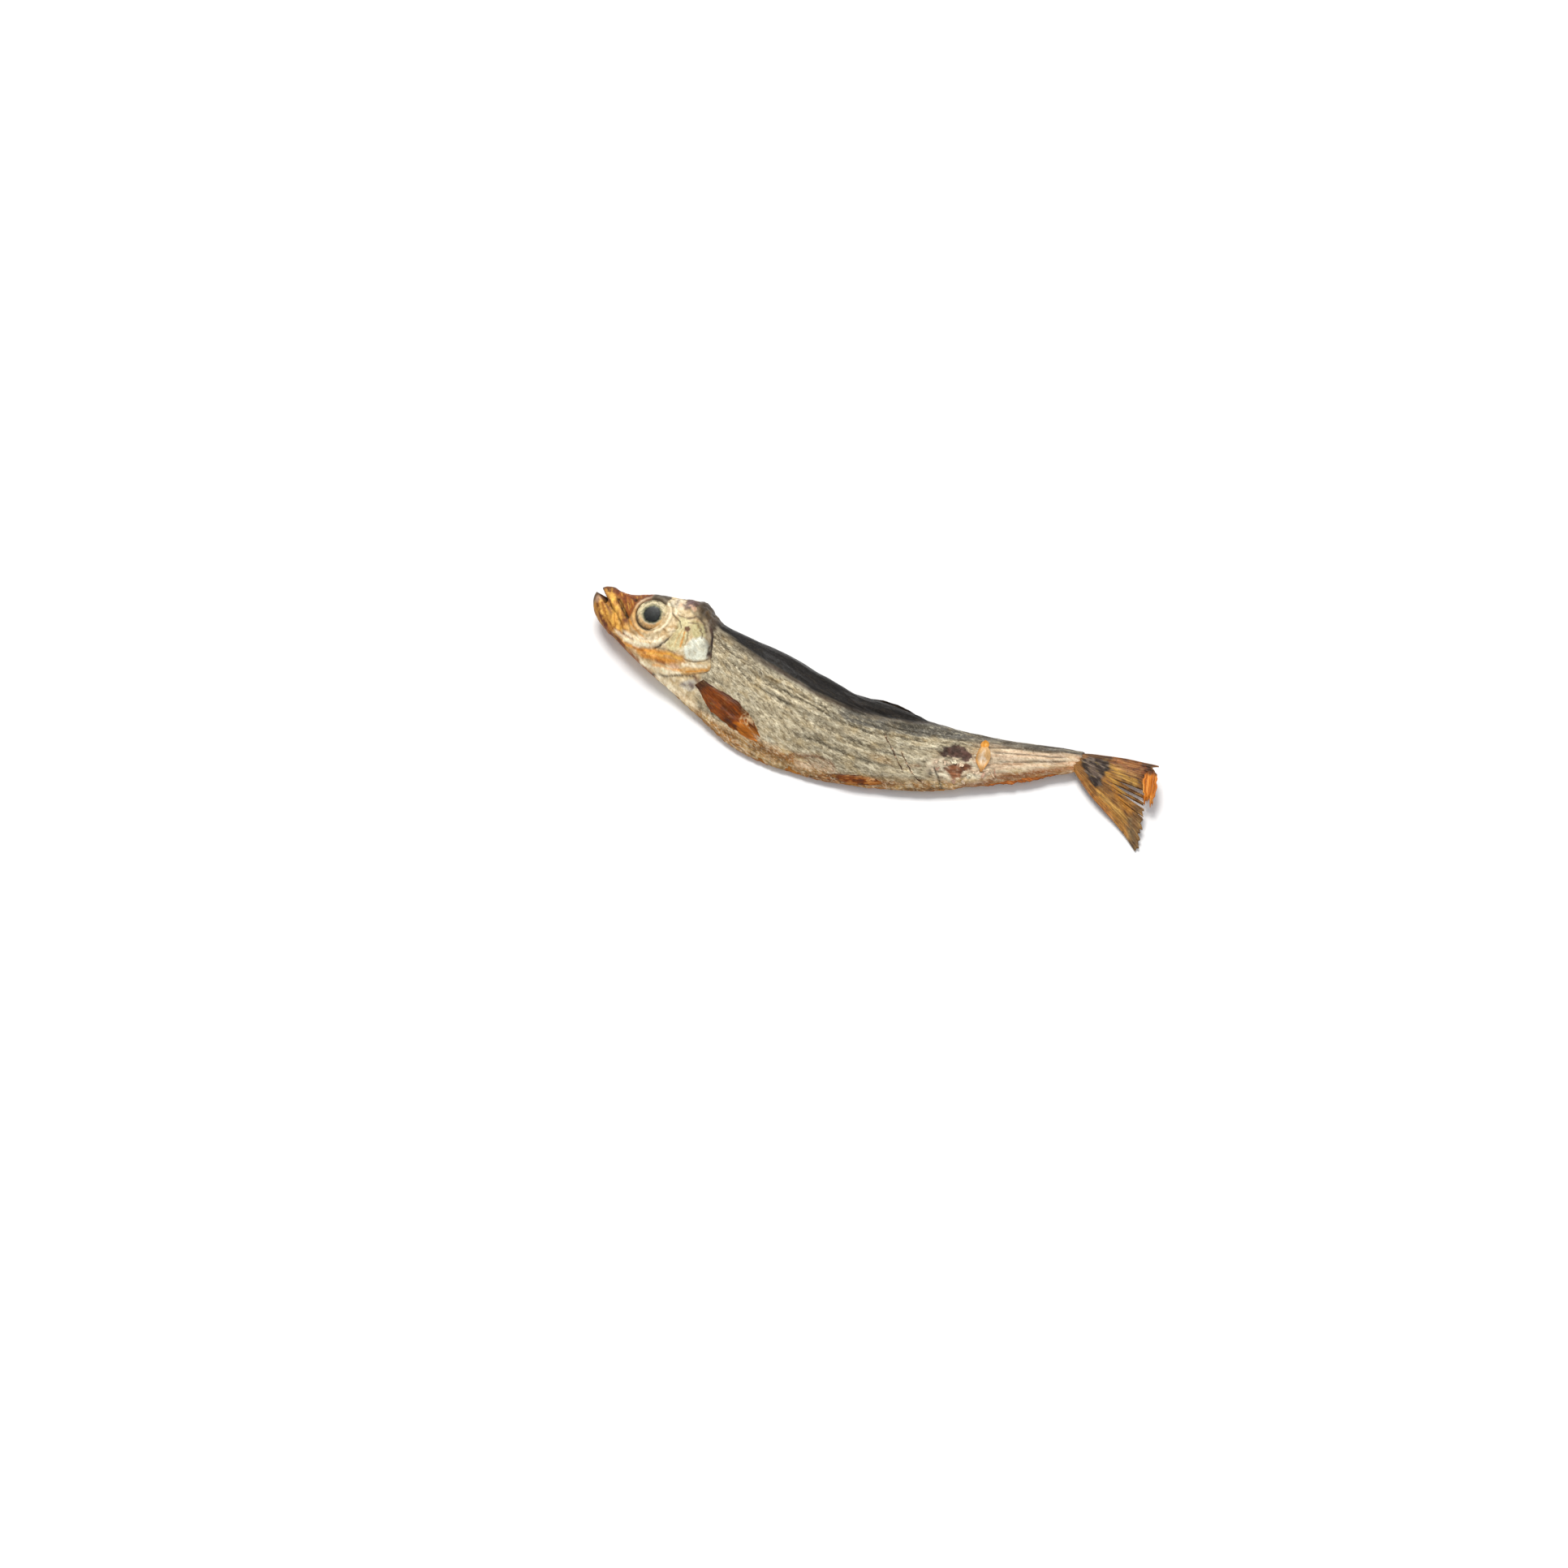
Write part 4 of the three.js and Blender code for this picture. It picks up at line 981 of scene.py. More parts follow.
HEAD_MARKS = [  # shape, corners, softness or width, tone, strength, one laid over the other
    (patch, [(2.4, 0.9), (3.2, 3.2), (6.0, 3.8), (8.8, 5.0), (9.8, 3.0), (8.7, 1.6), (8.7, -0.4),
             (8.2, -1.9), (6.7, -1.0), (4.6, 0.6)], 0.8, "rust", 0.95),
    (patch, [(7.6, 3.0), (9.0, 4.6), (9.9, 3.0), (8.9, 2.4)], 0.9, "ember", 0.7),
    (stroke, [(3.6, 2.6), (5.4, 2.7), (7.4, 3.3), (8.8, 4.4)], 0.55, "amber", 0.6),
    (stroke, [(5.2, 1.9), (6.8, 1.6), (8.0, 2.2)], 0.30, "ember", 0.7),
    (stroke, [(3.0, 2.9), (5.0, 3.6), (7.0, 4.4), (8.6, 5.4)], 0.50, "ember", 0.55),
    # Painted highlights of bright gold, the first along the upper jaw's ridge.
    (stroke, [(3.4, -0.6), (4.8, -2.0), (6.2, -3.6), (7.6, -4.4)], 0.50, "bright", 0.9),
    (stroke, [(2.2, -1.8), (3.9, -3.2), (6.0, -4.6)], 0.40, "bright", 0.75),
    (stroke, [(2.6, 0.4), (3.8, 0.1)], 0.36, "bright", 0.7),
    (stroke, [(1.6, -1.4), (3.0, -2.6), (4.7, -3.9), (7.2, -5.3)], 0.22, "rust", 0.8),
    (stroke, [(4.2, -1.1), (5.3, -2.5), (6.7, -4.2)], 0.18, "rust", 0.7),
    (stroke, [(6.9, -2.8), (8.2, -3.6), (9.4, -4.6)], 0.20, "rust", 0.65),
    (stroke, [(2.4, -0.4), (3.4, -1.0), (4.0, -1.9)], 0.16, "ember", 0.6),
    # Painted shade: a dark streak along the groove in front of the eye.
    (stroke, [(4.3, 0.3), (5.4, -0.4), (6.6, -1.1), (7.8, -1.9), (8.1, -2.7)], 0.50, "ember", 0.9),
    (stroke, [(5.0, 0.9), (6.6, 0.3), (7.6, -0.6)], 0.24, "ember", 0.6),
    (stroke, [(5.9, -0.8), (7.6, -1.8)], 0.18, "brow", 0.8),
    (stroke, [(8.6, -2.2), (10.2, -2.9), (11.6, -3.2), (13.2, -3.4)], 0.18, "orange", 0.85),
    (stroke, [(8.3, -3.1), (10.2, -3.9), (12.4, -4.3)], 0.16, "tan", 0.6),
    (patch, [(8.2, -4.2), (12.0, -3.7), (14.4, -2.6), (16.0, -1.4), (16.5, -2.8), (15.4, -4.2),
             (12.6, -5.1), (9.2, -5.2)], 0.6, "cream", 0.95),
    (stroke, [(7.0, -4.9), (10.4, -5.2), (12.8, -5.2)], 0.34, "cream", 0.85),
    (stroke, [(6.4, -4.5), (8.6, -4.7), (11.0, -4.6)], 0.13, "rust", 0.75),
    (stroke, [(10.4, -4.1), (12.6, -4.2), (14.6, -3.6)], 0.11, "tan", 0.75),
    (stroke, [(6.2, -5.4), (9.8, -5.8), (13.6, -5.5)], 0.24, "orange", 0.9),
    (stroke, [(8.3, -6.1), (9.9, -6.2)], 0.30, "ember", 0.85),
    (stroke, [(1.4, -3.0), (5.2, -5.1), (9.7, -6.5), (14.7, -7.4), (18.0, -8.0)], 0.36, "rust", 0.85),
    (stroke, [(-0.8, -0.2), (0.4, -1.6), (1.6, -2.9), (2.9, -3.9), (4.7, -4.8)], 0.34, "ember", 0.8),
    (patch, [(0.0, 0.9), (0.6, 2.4), (2.4, 2.6), (3.8, 2.2), (3.2, 1.2), (1.6, 0.8)], 0.5, "ember", 0.85),
    (patch, [(8.9, 5.6), (9.5, 3.4), (10.4, 2.7), (12.0, 3.3), (12.9, 3.8), (12.7, 5.3), (11.6, 6.4)], 0.60,
     "brow", 0.95),
    (patch, [(12.9, 4.3), (13.0, 5.7), (14.2, 6.6), (15.8, 5.9), (15.9, 4.4), (14.6, 3.8)], 0.5, "ash", 0.9),
    (stroke, [(14.0, 4.8), (14.2, 6.2)], 0.18, "purple", 0.6),
    (stroke, [(14.9, 5.0), (15.3, 4.8)], 0.36, "rose", 0.8),
    (stroke, [(14.9, 3.6), (15.6, 3.3)], 0.50, "cream", 0.85),
    (patch, [(15.4, 5.2), (16.3, 4.6), (17.1, 5.0), (17.4, 6.6), (15.8, 7.0)], 0.5, "purple", 0.8),
    (patch, [(16.2, 3.2), (18.2, 3.6), (19.9, 1.6), (20.0, -1.6), (18.6, -3.4), (17.0, -2.4), (17.4, 0.2)],
     0.8, "straw", 0.85),
    (patch, [(18.6, 3.8), (21.2, 4.2), (22.6, 2.8), (22.4, 1.6), (20.6, 1.2), (19.4, 2.2)], 0.8, "olive",
     0.75),
    (stroke, [(14.6, 2.8), (16.9, 2.3), (17.8, 1.5)], 0.13, "line", 0.85),
    (stroke, [(15.0, -0.5), (16.2, -0.6), (17.2, 0.3)], 0.12, "line", 0.6),
    (stroke, [(13.8, 3.4), (15.2, 2.8)], 0.12, "line", 0.5),
    (stroke, [(15.9, 3.2), (17.3, 3.5)], 0.13, "line", 0.65),
    (stroke, [(15.7, -4.1), (16.4, -3.0), (17.0, -1.5)], 0.17, "brow", 0.95),
    (patch, [(18.3, 2.1), (18.8, 2.5), (19.4, 2.1), (19.3, 1.4), (18.7, 1.4)], 0.35, "ember", 0.9),
    (stroke, [(18.9, 1.2), (19.1, 0.2), (19.6, -1.4)], 0.17, "orange", 0.85),
    (stroke, [(18.2, 1.1), (18.3, -0.4), (18.6, -1.8)], 0.13, "tan", 0.6),
    (stroke, [(19.4, 1.4), (19.9, 0.4), (20.1, -0.6)], 0.13, "ember", 0.6),
    (patch, [(20.3, -0.8), (20.8, 1.0), (21.9, 2.1), (23.2, 2.2), (24.5, 1.2), (25.1, -0.4), (23.7, -2.0),
             (21.9, -2.5), (20.6, -1.9)], 0.6, "plate", 0.98),
    (stroke, [(20.9, -2.7), (22.3, -2.7), (23.6, -2.1), (24.7, -1.3), (25.2, -0.4)], 0.12, "line", 0.7),
    (stroke, [(17.7, 3.6), (18.8, 4.8), (20.7, 4.4), (22.1, 3.3)], 0.20, "line", 0.85),
    (stroke, [(18.4, 3.0), (19.8, 3.7), (21.2, 3.1)], 0.14, "line", 0.7),
    (stroke, [(19.6, 4.9), (21.4, 4.3), (22.8, 3.0), (23.6, 1.5)], 0.75, "brow", 0.65),
    (stroke, [(20.9, 3.0), (21.8, 2.6), (22.3, 1.9)], 0.16, "line", 0.8),
    (stroke, [(16.8, 5.1), (18.4, 5.0), (19.8, 4.9)], 0.30, "brow", 0.6),
    # Painted shadow along the gill cover's rear edge.
    (stroke, [(22.2, 5.2), (23.6, 3.4), (24.2, 1.7), (24.9, 0.4)], 0.36, "brow", 0.95),
    (patch, [(12.4, -5.5), (14.3, -4.8), (17.8, -3.1), (20.9, -2.5), (22.2, -3.1), (19.6, -4.9),
             (16.3, -6.1), (13.2, -6.4)], 0.7, "gold", 0.75),
    (stroke, [(13.4, -5.3), (16.0, -4.6), (18.6, -3.5)], 0.24, "orange", 0.9),
    (stroke, [(14.0, -6.1), (17.4, -5.2), (19.8, -4.2)], 0.34, "orange", 0.8),
    (stroke, [(11.6, -5.6), (13.8, -5.4), (15.6, -5.7)], 0.22, "rust", 0.6),
    (stroke, [(15.6, -3.9), (17.6, -3.1), (19.4, -2.8)], 0.16, "brow", 0.5),
    (stroke, [(19.2, -5.6), (21.0, -4.8)], 0.22, "cream", 0.7),
    (stroke, [(15.0, -5.3), (17.6, -4.4)], 0.20, "bright", 0.8),
    (stroke, [(18.0, -3.6), (20.8, -3.2)], 0.22, "bright", 0.7),
    (stroke, [(17.3, -5.6), (18.5, -5.3)], 0.40, "rust", 0.8),
    (stroke, [(19.8, -4.9), (20.9, -4.6)], 0.42, "rose", 0.85),
    (stroke, [(16.6, -6.5), (19.2, -5.9), (22.0, -4.5)], 0.22, "orange", 0.85),
    (stroke, [(14.2, -7.1), (17.6, -6.7), (20.4, -5.7), (22.0, -5.2)], 0.30, "cream", 0.85),
    (patch, [(21.6, -4.6), (22.6, -3.4), (25.2, -2.4), (26.3, -1.0), (26.6, -2.4), (24.4, -4.0),
             (22.8, -5.0)], 0.5, "tan", 0.8),
    (stroke, [(21.8, -3.6), (23.6, -2.9), (25.6, -1.8)], 0.26, "cream", 0.85),
    (stroke, [(22.8, -4.3), (24.6, -3.3), (26.2, -2.2)], 0.16, "orange", 0.8),
    (patch, [(22.6, -6.9), (23.8, -5.3), (25.0, -4.5), (26.4, -5.6), (24.8, -6.8)], 0.4, "silver", 0.85),
    (stroke, [(24.5, -5.7), (25.1, -5.8)], 0.34, "purple", 0.8),
    (stroke, [(23.2, -6.4), (23.7, -6.3)], 0.24, "purple", 0.6),
    (stroke, [(17.2, -7.7), (20.2, -6.6), (22.6, -5.1), (24.4, -4.3)], 0.20, "brow", 0.9),
    (stroke, [(24.4, -4.2), (26.2, -5.0), (26.9, -6.0)], 0.24, "ember", 0.85),
    (stroke, [(18.1, -7.4), (21.6, -7.8), (25.3, -8.2), (30.0, -8.8)], 0.34, "cream", 0.75),
]

NAPE_AREA = [(13.2, 7.0), (15.2, 6.4), (16.8, 5.5), (18.6, 5.3), (20.6, 5.1), (22.2, 4.4), (24.0, 3.8),
             (26.0, 4.6), (27.0, 12.0), (13.0, 12.0)]
BROW_AREA = [(8.9, 5.6), (9.5, 3.4), (10.4, 2.7), (12.9, 3.8), (12.7, 5.3), (11.6, 6.4)]
NAPE_SPOTS = [  # centre, radii, tone, strength
    ((17.4, 5.6), (0.5, 0.35), "rose", 0.6),
    ((19.9, 6.0), (0.6, 0.25), "tan", 0.4),
    ((18.2, 6.7), (0.9, 0.7), "brow", 0.8),
    ((19.5, 6.2), (1.2, 0.9), "brow", 0.85),
]
BELLY_MARKS = [  # corners, width, tone, strength
    ([(18.0, -8.2), (23.9, -8.7), (30.0, -9.6), (36.0, -10.3)], 0.34, "belly", 0.8),
    ([(46.5, -7.0), (48.6, -6.0), (50.4, -5.4), (52.6, -5.4), (53.4, -6.5)], 0.36, "rust", 0.7),
    ([(47.8, -7.8), (50.0, -7.0), (52.6, -6.4)], 0.55, "stock", 0.75),
    ([(53.4, -7.3), (57.0, -6.8), (60.6, -6.1), (63.4, -6.1)], 0.55, "rust", 0.75),
    ([(41.4, -8.6), (44.4, -7.9), (46.6, -7.6)], 0.4, "rust", 0.45),
    ([(37.0, -8.0), (40.0, -7.4)], 0.5, "rust", 0.5),
    ([(65.5, -2.6), (66.9, -2.4)], 0.3, "rust", 0.55),
    ([(74.5, -5.0), (78.0, -4.4), (82.0, -3.4), (88.0, -2.6), (94.5, -1.6)], 0.42, "rust", 0.8),
    ([(76.0, -3.4), (80.0, -2.6), (86.0, -1.9)], 0.3, "cream", 0.4),
]


def head_colour(under, s, v, u, share, tones):
    """The head laid over a colour, also used by the gill covers so that the two meet without a seam: a
    ground of gold in front and straw behind, dusk on the nape, the marks, among them painted highlights on
    the upper jaw, painted shade in the groove before the eye and a painted shadow along the gill cover's rear
    edge, the fold round the eye, and painted shade in the groove round the socket and in the nostril."""
    lumps, small = lump_grain(s, v, u), small_grain(s, v, u)
    other = cloud(s / 1.3, v / 1.0, u / 1.0, 57)
    cream = mix(tones.cream, HEAD_TONES["bright"], 0.10) * 1.05
    tone = SimpleNamespace(**HEAD_TONES, cream=cream, plate=tones.silver, rust=tones.rust)
    front = ease((10.2 - s + 0.5 * (EYE_V - v) + 0.6 * lumps) / 4.5)
    slant = cloud((s - v) / 2.4, (s + v) / 0.42, u / 0.8, 59)
    high = ease((v - 4.6) / 1.6)
    s_off = s + (0.30 + 0.9 * high) * lumps + (0.10 + 0.5 * high) * small
    v_off = v + 0.24 * other + 0.10 * small
    nape = patch(s_off, v_off, NAPE_AREA, 0.9)
    colour = coats(
        mix(tones.honey, tones.cream, 0.4),
        (0.6 * ease(lumps * 1.8), tones.cream),
        (0.4 * ease(-other * 2.0), tone.tan),
        (0.9 * front, between(tone.gold, tone.bright, other * 2.2)),
        (0.45 * front * ease(lumps * 2.4 - 0.2), tone.rust),
        (0.94 * nape, between(tone.dusk * 0.6, tones.plum * 0.65, lumps * 2)),
        (0.45 * nape * ease(small * 2.6 - 0.5) * ease(other * 2 + 0.4), mix(tone.tan, tone.ash, 0.5)),
    )
    for shape, corners, size, name, strength in HEAD_MARKS:
        colour = paint(colour, strength * shape(s_off, v_off, corners, size), getattr(tone, name))
    for centre, radii, name, strength in NAPE_SPOTS:
        colour = paint(colour, strength * spot(s_off, v_off, centre, radii, 0.5), getattr(tone, name))
    snout = ease((9.2 - s + 0.5 * lumps) / 2.5)
    lobe = ease((0.7 - s + 0.3 * lumps) / 0.9)
    lip = bell((np.abs(v - mouth_line(s)) - 0.45) / 0.22) * ease((5.0 - s) / 2)
    eye_away, around = eye_polar(s, v)
    brow = patch(s_off, v_off, BROW_AREA, 0.4)
    fold = bell((eye_away - 3.42 - 0.08 * lumps) / 0.28)
    bare = bell((around - 2.05) / 0.65)
    front_low = ease(np.cos(around + 2.2) * 1.6 + 0.1)
    lower = ease(np.cos(around + 0.9) * 1.5)
    shoulder = ease((s - 20.6 + 0.8 * lumps) / 3.0) * ease((v - 4.2 + 0.6 * other) / 1.4)
    half = at_station(HALF_WIDTH, np.clip(s, 0, BODY_LENGTH))
    right = ease(-u / half / 0.3)
    crown = ease((0.40 + 0.50 * right - np.abs(u) / half + 0.18 * lumps + 0.12 * small)
                 / (0.22 + 0.24 * right))
    crown *= ease((v - 1.5 - 1.4 * right) / 2) * ease((s - 3) / 3)
    crown_tone = between(tone.amber, mix(tone.brow, tones.back * 1.8, 0.4), (s - 5.4 + 1.8 * other) / 5.5)
    crown_tone = mix(crown_tone, tone.tan * 0.7, (0.35 * ease(lumps * 2.2 - 0.4))[..., None])
    colour = coats(
        colour,
        (0.50 * snout * ease(slant * 2.2 - 0.15), tone.bright),
        (0.50 * snout * ease(-slant * 2.2 - 0.15), tone.ember),
        (0.85 * lobe, tone.dusk),
        (0.8 * spot(s, v, (0.5, -1.1), (0.55, 0.8), 0.5), tone.rose * 0.75),
        (0.9 * bell(np.hypot((s - 1.2) / 0.8, (v - 2.1) / 0.5)), tone.brow),
        (0.8 * bell(np.hypot(s - 2.7, v - 2.2) / 0.45), tone.ember),
        (0.75 * lip, tone.ember),
        (0.8 * fold * (1 - 0.8 * brow) * (1 - 0.85 * bare),
         between(tone.cream, tone.tan, -np.sin(around + 0.5) * 1.2 + 0.3 * small)),
        # Painted shadow in the groove round the socket, mostly at its lower front.
        ((0.06 + 0.80 * front_low) * bell((eye_away - 2.97 - 0.04 * small) / 0.15), tone.brow),
        (0.55 * ease(lumps + 0.6) * bell((eye_away - 3.86 - 0.25 * other) / 0.12) * (1 - brow), tone.line),
        (0.45 * lower * bell((eye_away - 4.7 - 0.35 * lumps) / 0.13), tone.tan * 0.7),
        # Painted shade in the nostril's pit.
        (0.9 * bell(np.hypot(s - NOSTRIL_S, v - NOSTRIL_V) / 0.26), tone.brow),
        (0.92 * shoulder, between(tones.back * 1.3, tone.dusk * 0.55, small + 0.4)),
        (0.92 * crown, crown_tone),
    )
    colour = shade(colour, 1 + 0.13 * small + 0.14 * lumps + 0.10 * other)
    return paint(under, share, within(colour))


# ---------------------------------------------------------------- pieces
# Rows and columns of each piece's grid of points, or rings and points in a ring.
EYE_GRID, GILL_GRID, FLANK_FIN_GRID, MIDLINE_FIN_GRID = (44, 96), (128, 190), (130, 71), (20, 220)
TAIL_GRID, TUFT_GRID, FLAKE_GRID, SHRED_GRID = (90, 150), (60, 40), (84, 34), (20, 10)
THREAD_GRID, SCUTE_GRID = (130, 8), (10, 9)
SKIN_ROWS_NOSE, SKIN_ROWS_HEAD, SKIN_ROWS_TRUNK, SKIN_ROWS_END = 14, 150, 284, 6
SKIN_AROUND = 212
HEAD_END = 26.0


def make_skin():
    """The skin: a tube of sections from the jaw tip to the tail base. Each point of a section moves out
    by the relief, the points in the mouth's wedge move in to the midline and back to its corner, the
    end by the tail thins and breaks off unevenly."""
    tones = colours()
    nose = JAW_TIP + NOSE_ROUND * (1 - np.cos(np.linspace(0, np.pi / 2, SKIN_ROWS_NOSE)))
    head = np.linspace(nose[-1], HEAD_END, SKIN_ROWS_HEAD + 1)[1:]
    trunk = np.linspace(HEAD_END, END_START, SKIN_ROWS_TRUNK + 1)[1:]
    tail = END_START + (BODY_LENGTH - END_START) * np.sin(np.linspace(0, np.pi / 2, SKIN_ROWS_END + 1))[1:]
    rows = np.concatenate([nose, head, trunk, tail])[1:-1]
    turn = circle(SKIN_AROUND)
    s, angle = np.meshgrid(rows, turn - 0.25 * np.sin(2 * turn), indexing="ij")
    u, v = section(s, angle)
    side = np.sign(np.cos(angle))
    parts = skin_parts(s, v, u, side)
    fine = fine_relief(s, v, u, parts) * sizes().wrinkle
    faded = ease((s - JAW_TIP) / 1.0) * ease((BODY_LENGTH - s) / 0.8)
    out_u, out_v = outward(s, angle)
    away = (shape_relief(s, v, side) + fine) * faded
    gap = parts.mouth_gap
    frays = cloud(v / 0.5, u / 1.2, 9, 123)
    torn_end = ease((s - 94.2 + 0.5 * bell((v + 1.6) / 1.0) - 0.9 * frays) / 1.8)
    thin = 1 - 0.26 * ease((s - 89) / 6) - (0.46 + 0.24 * frays) * torn_end
    skin_u = (u + out_u * away) * (1 - 0.98 * gap) * thin
    skin_v = (v + out_v * away) * (1 - 0.10 * ease((s - 91) / 4))
    broken = 1.5 * ease((s - 91) / 5) * (0.5 + 0.5 * cloud(v / 0.55, u / 1.2, 4, 121))
    skin_s = mix(s, np.maximum(s, MOUTH_END), gap) - broken + 1.5 * ease((s - 87) / 9)
    poles = np.stack([place(JAW_TIP, 0.0, at_station(WIDEST_AT, JAW_TIP)),
                      place(BODY_LENGTH + 0.8, 0.0, at_station(WIDEST_AT, BODY_LENGTH))])
    pale = (1 - parts.dark) * (1 - 0.5 * parts.blue) * (1 - 0.35 * parts.stock) * (1 - 0.8 * parts.torn)
    unscarred = 1 - 0.9 * np.maximum(parts.scar, parts.red_scar)
    flecked = parts.trunk * pale * ease((dark_edge(s) - v) / 1.5) * unscarred
    lined = parts.trunk * (1 - 0.7 * parts.scar) * (1 - 0.6 * parts.stock)

    def ended(field):
        """A field's values row by row, with the first and the last once more for the two poles."""
        rows = field.reshape(s.size, -1)
        return np.vstack([rows, rows[[0, -1]]])

    put_mesh("fish_skin", np.vstack([place(skin_s, skin_u, skin_v).reshape(-1, 3), poles]),
             grid_quads(len(rows), SKIN_AROUND, True), smoked_skin_material("smoked_skin", tones),
             end_fans(s.size, SKIN_AROUND),
             flecked=ended(flecked),
             lined=ended(lined),
             gloss=ended(np.clip(0.9 * parts.dark + 0.3 * parts.blue + 0.3 * parts.head, 0, 1)),
             silver=ended(parts.trunk * (1 - parts.dark) * (1 - parts.belly) * (1 - parts.torn) * 0.8),
             fish_mm=ended(np.stack([s, v + FLECK_SLANT * s, u], -1)),
             skin_colour=ended(skin_colour(s, v, u, parts, fine, tones)))


def dome(middle, along, up, faces, height, side):
    """A closed round dome about a middle point: rings from the middle to the rim at the height the
    profile gives, and a shallow bowl behind. Returns points, quads, fans, each point's reach, and how
    far it lies on the lower side."""
    rings, around = EYE_GRID
    reach = np.concatenate([np.linspace(0, 1, rings + 1)[1:], np.linspace(1, 0, 6)[1:-1]])
    front = np.arange(len(reach)) < rings
    lift = np.where(front, height(reach), -0.9 * np.sqrt(np.maximum(0, 1 - reach**2)) * 0.5 - 0.02)
    turn = circle(around)
    ring = np.cos(turn)[:, None] * along + np.sin(turn)[:, None] * up
    points = middle + EYE_RING_RADIUS * reach[:, None, None] * ring + lift[:, None, None] * faces
    tips = np.stack([middle + height(np.array([0.0]))[0] * faces, middle - 0.5 * faces])
    low = np.tile(-np.cos(turn + 0.55 * side), len(reach))
    return (np.vstack([points.reshape(-1, 3), tips]), grid_quads(len(reach), around, True),
            end_fans(len(reach) * around, around), np.append(np.repeat(reach, around), [0, 0]),
            np.append(low, [0, 0]))


def make_eye(name, side):
    """An eye: a round dome whose profile is a low pupil with a fine groove round it, a raised ring, and
    a rim that sinks under the socket's fold. It faces between out of the fish and out of the skin."""
    pupil = sizes().pupil_share
    middle = on_skin(EYE_S, EYE_V, side, SOCKET_DEPTH - EYE_SUNK)
    from_skin = on_skin(EYE_S, EYE_V, side, 5) - middle
    from_fish = place(EYE_S, float(side), 0.0) - place(EYE_S, 0.0, 0.0)
    faces = from_skin / np.linalg.norm(from_skin) + from_fish / np.linalg.norm(from_fish)
    faces /= np.linalg.norm(faces)
    up = np.cross(place(EYE_S, 0.0, 1.0) - place(EYE_S, 0.0, 0.0), faces)
    up /= np.linalg.norm(up)
    along = np.cross(faces, up)

    def height(r):
        """A flattened half circle, less a bell for the groove and with one for the ring."""
        base = EYE_BULGE * np.sqrt(np.maximum(0, 1 - 0.97 * r**2))
        return base - 0.06 * bell((r - pupil - 0.02) / 0.06) + 0.06 * bell((r - 0.76) / 0.1)

    points, quads, fans, reach, low = dome(middle, along, up, faces, height, side)
    put_mesh(name, points, quads, eye_material(name, colours(), pupil), fans, eye_reach=reach, eye_low=low,
             fish_mm=points)


def plate_points(outline, side, top, bottom):
    """A thin plate on the skin: rings drawn from its outline towards its middle, on top at the height
    the top function gives and beneath at the bottom one. Returns points, quads, fans, s, v and reach."""
    middle = outline.mean(0)
    polar = np.linspace(0, np.pi, GILL_GRID[0])[1:-1]
    reach = np.sin(polar) ** 0.7
    sv = middle + (outline - middle) * reach[:, None, None]
    upper = (polar <= np.pi / 2)[:, None]
    share = np.sqrt(np.abs(np.cos(polar)))[:, None]
    outside = np.where(upper, top(sv[..., 0], sv[..., 1], share), bottom * share)
    points = on_skin(sv[..., 0], sv[..., 1], side, outside)
    tips = np.stack([on_skin(*middle, side, top(middle[0], middle[1], 1.0)), on_skin(*middle, side, bottom)])
    around = len(outline)
    s, v = (np.append(sv[..., k], [middle[k]] * 2) for k in (0, 1))
    return (np.vstack([points.reshape(-1, 3), tips]), grid_quads(len(polar), around, True),
            end_fans(len(polar) * around, around), s, v, np.append(np.repeat(reach, around), [0, 0]))


GILL_HINGE = (18.3, 3.2)
SHINE_AREA = [(20.4, -0.8), (21.0, 1.0), (23.2, 2.1), (25.0, -0.4), (23.0, -2.2)]


def gill_fan(s, v):
    """Fine ridges that fan out from the hinge of the gill cover: a wave in the angle about the hinge."""
    along, above = s - GILL_HINGE[0], v - GILL_HINGE[1]
    angle, away = np.arctan2(above, along), np.hypot(along, above)
    return np.sin(26 * angle + 1.5 * np.sin(away)) * ease((away - 0.8) / 2) * ease((7.5 - away) / 3)


def lower_plate(s, v):
    """How far a point lies below the curved upper edge of the narrow plate under the gill cover."""
    return level(s, PLATE_EDGE) - v


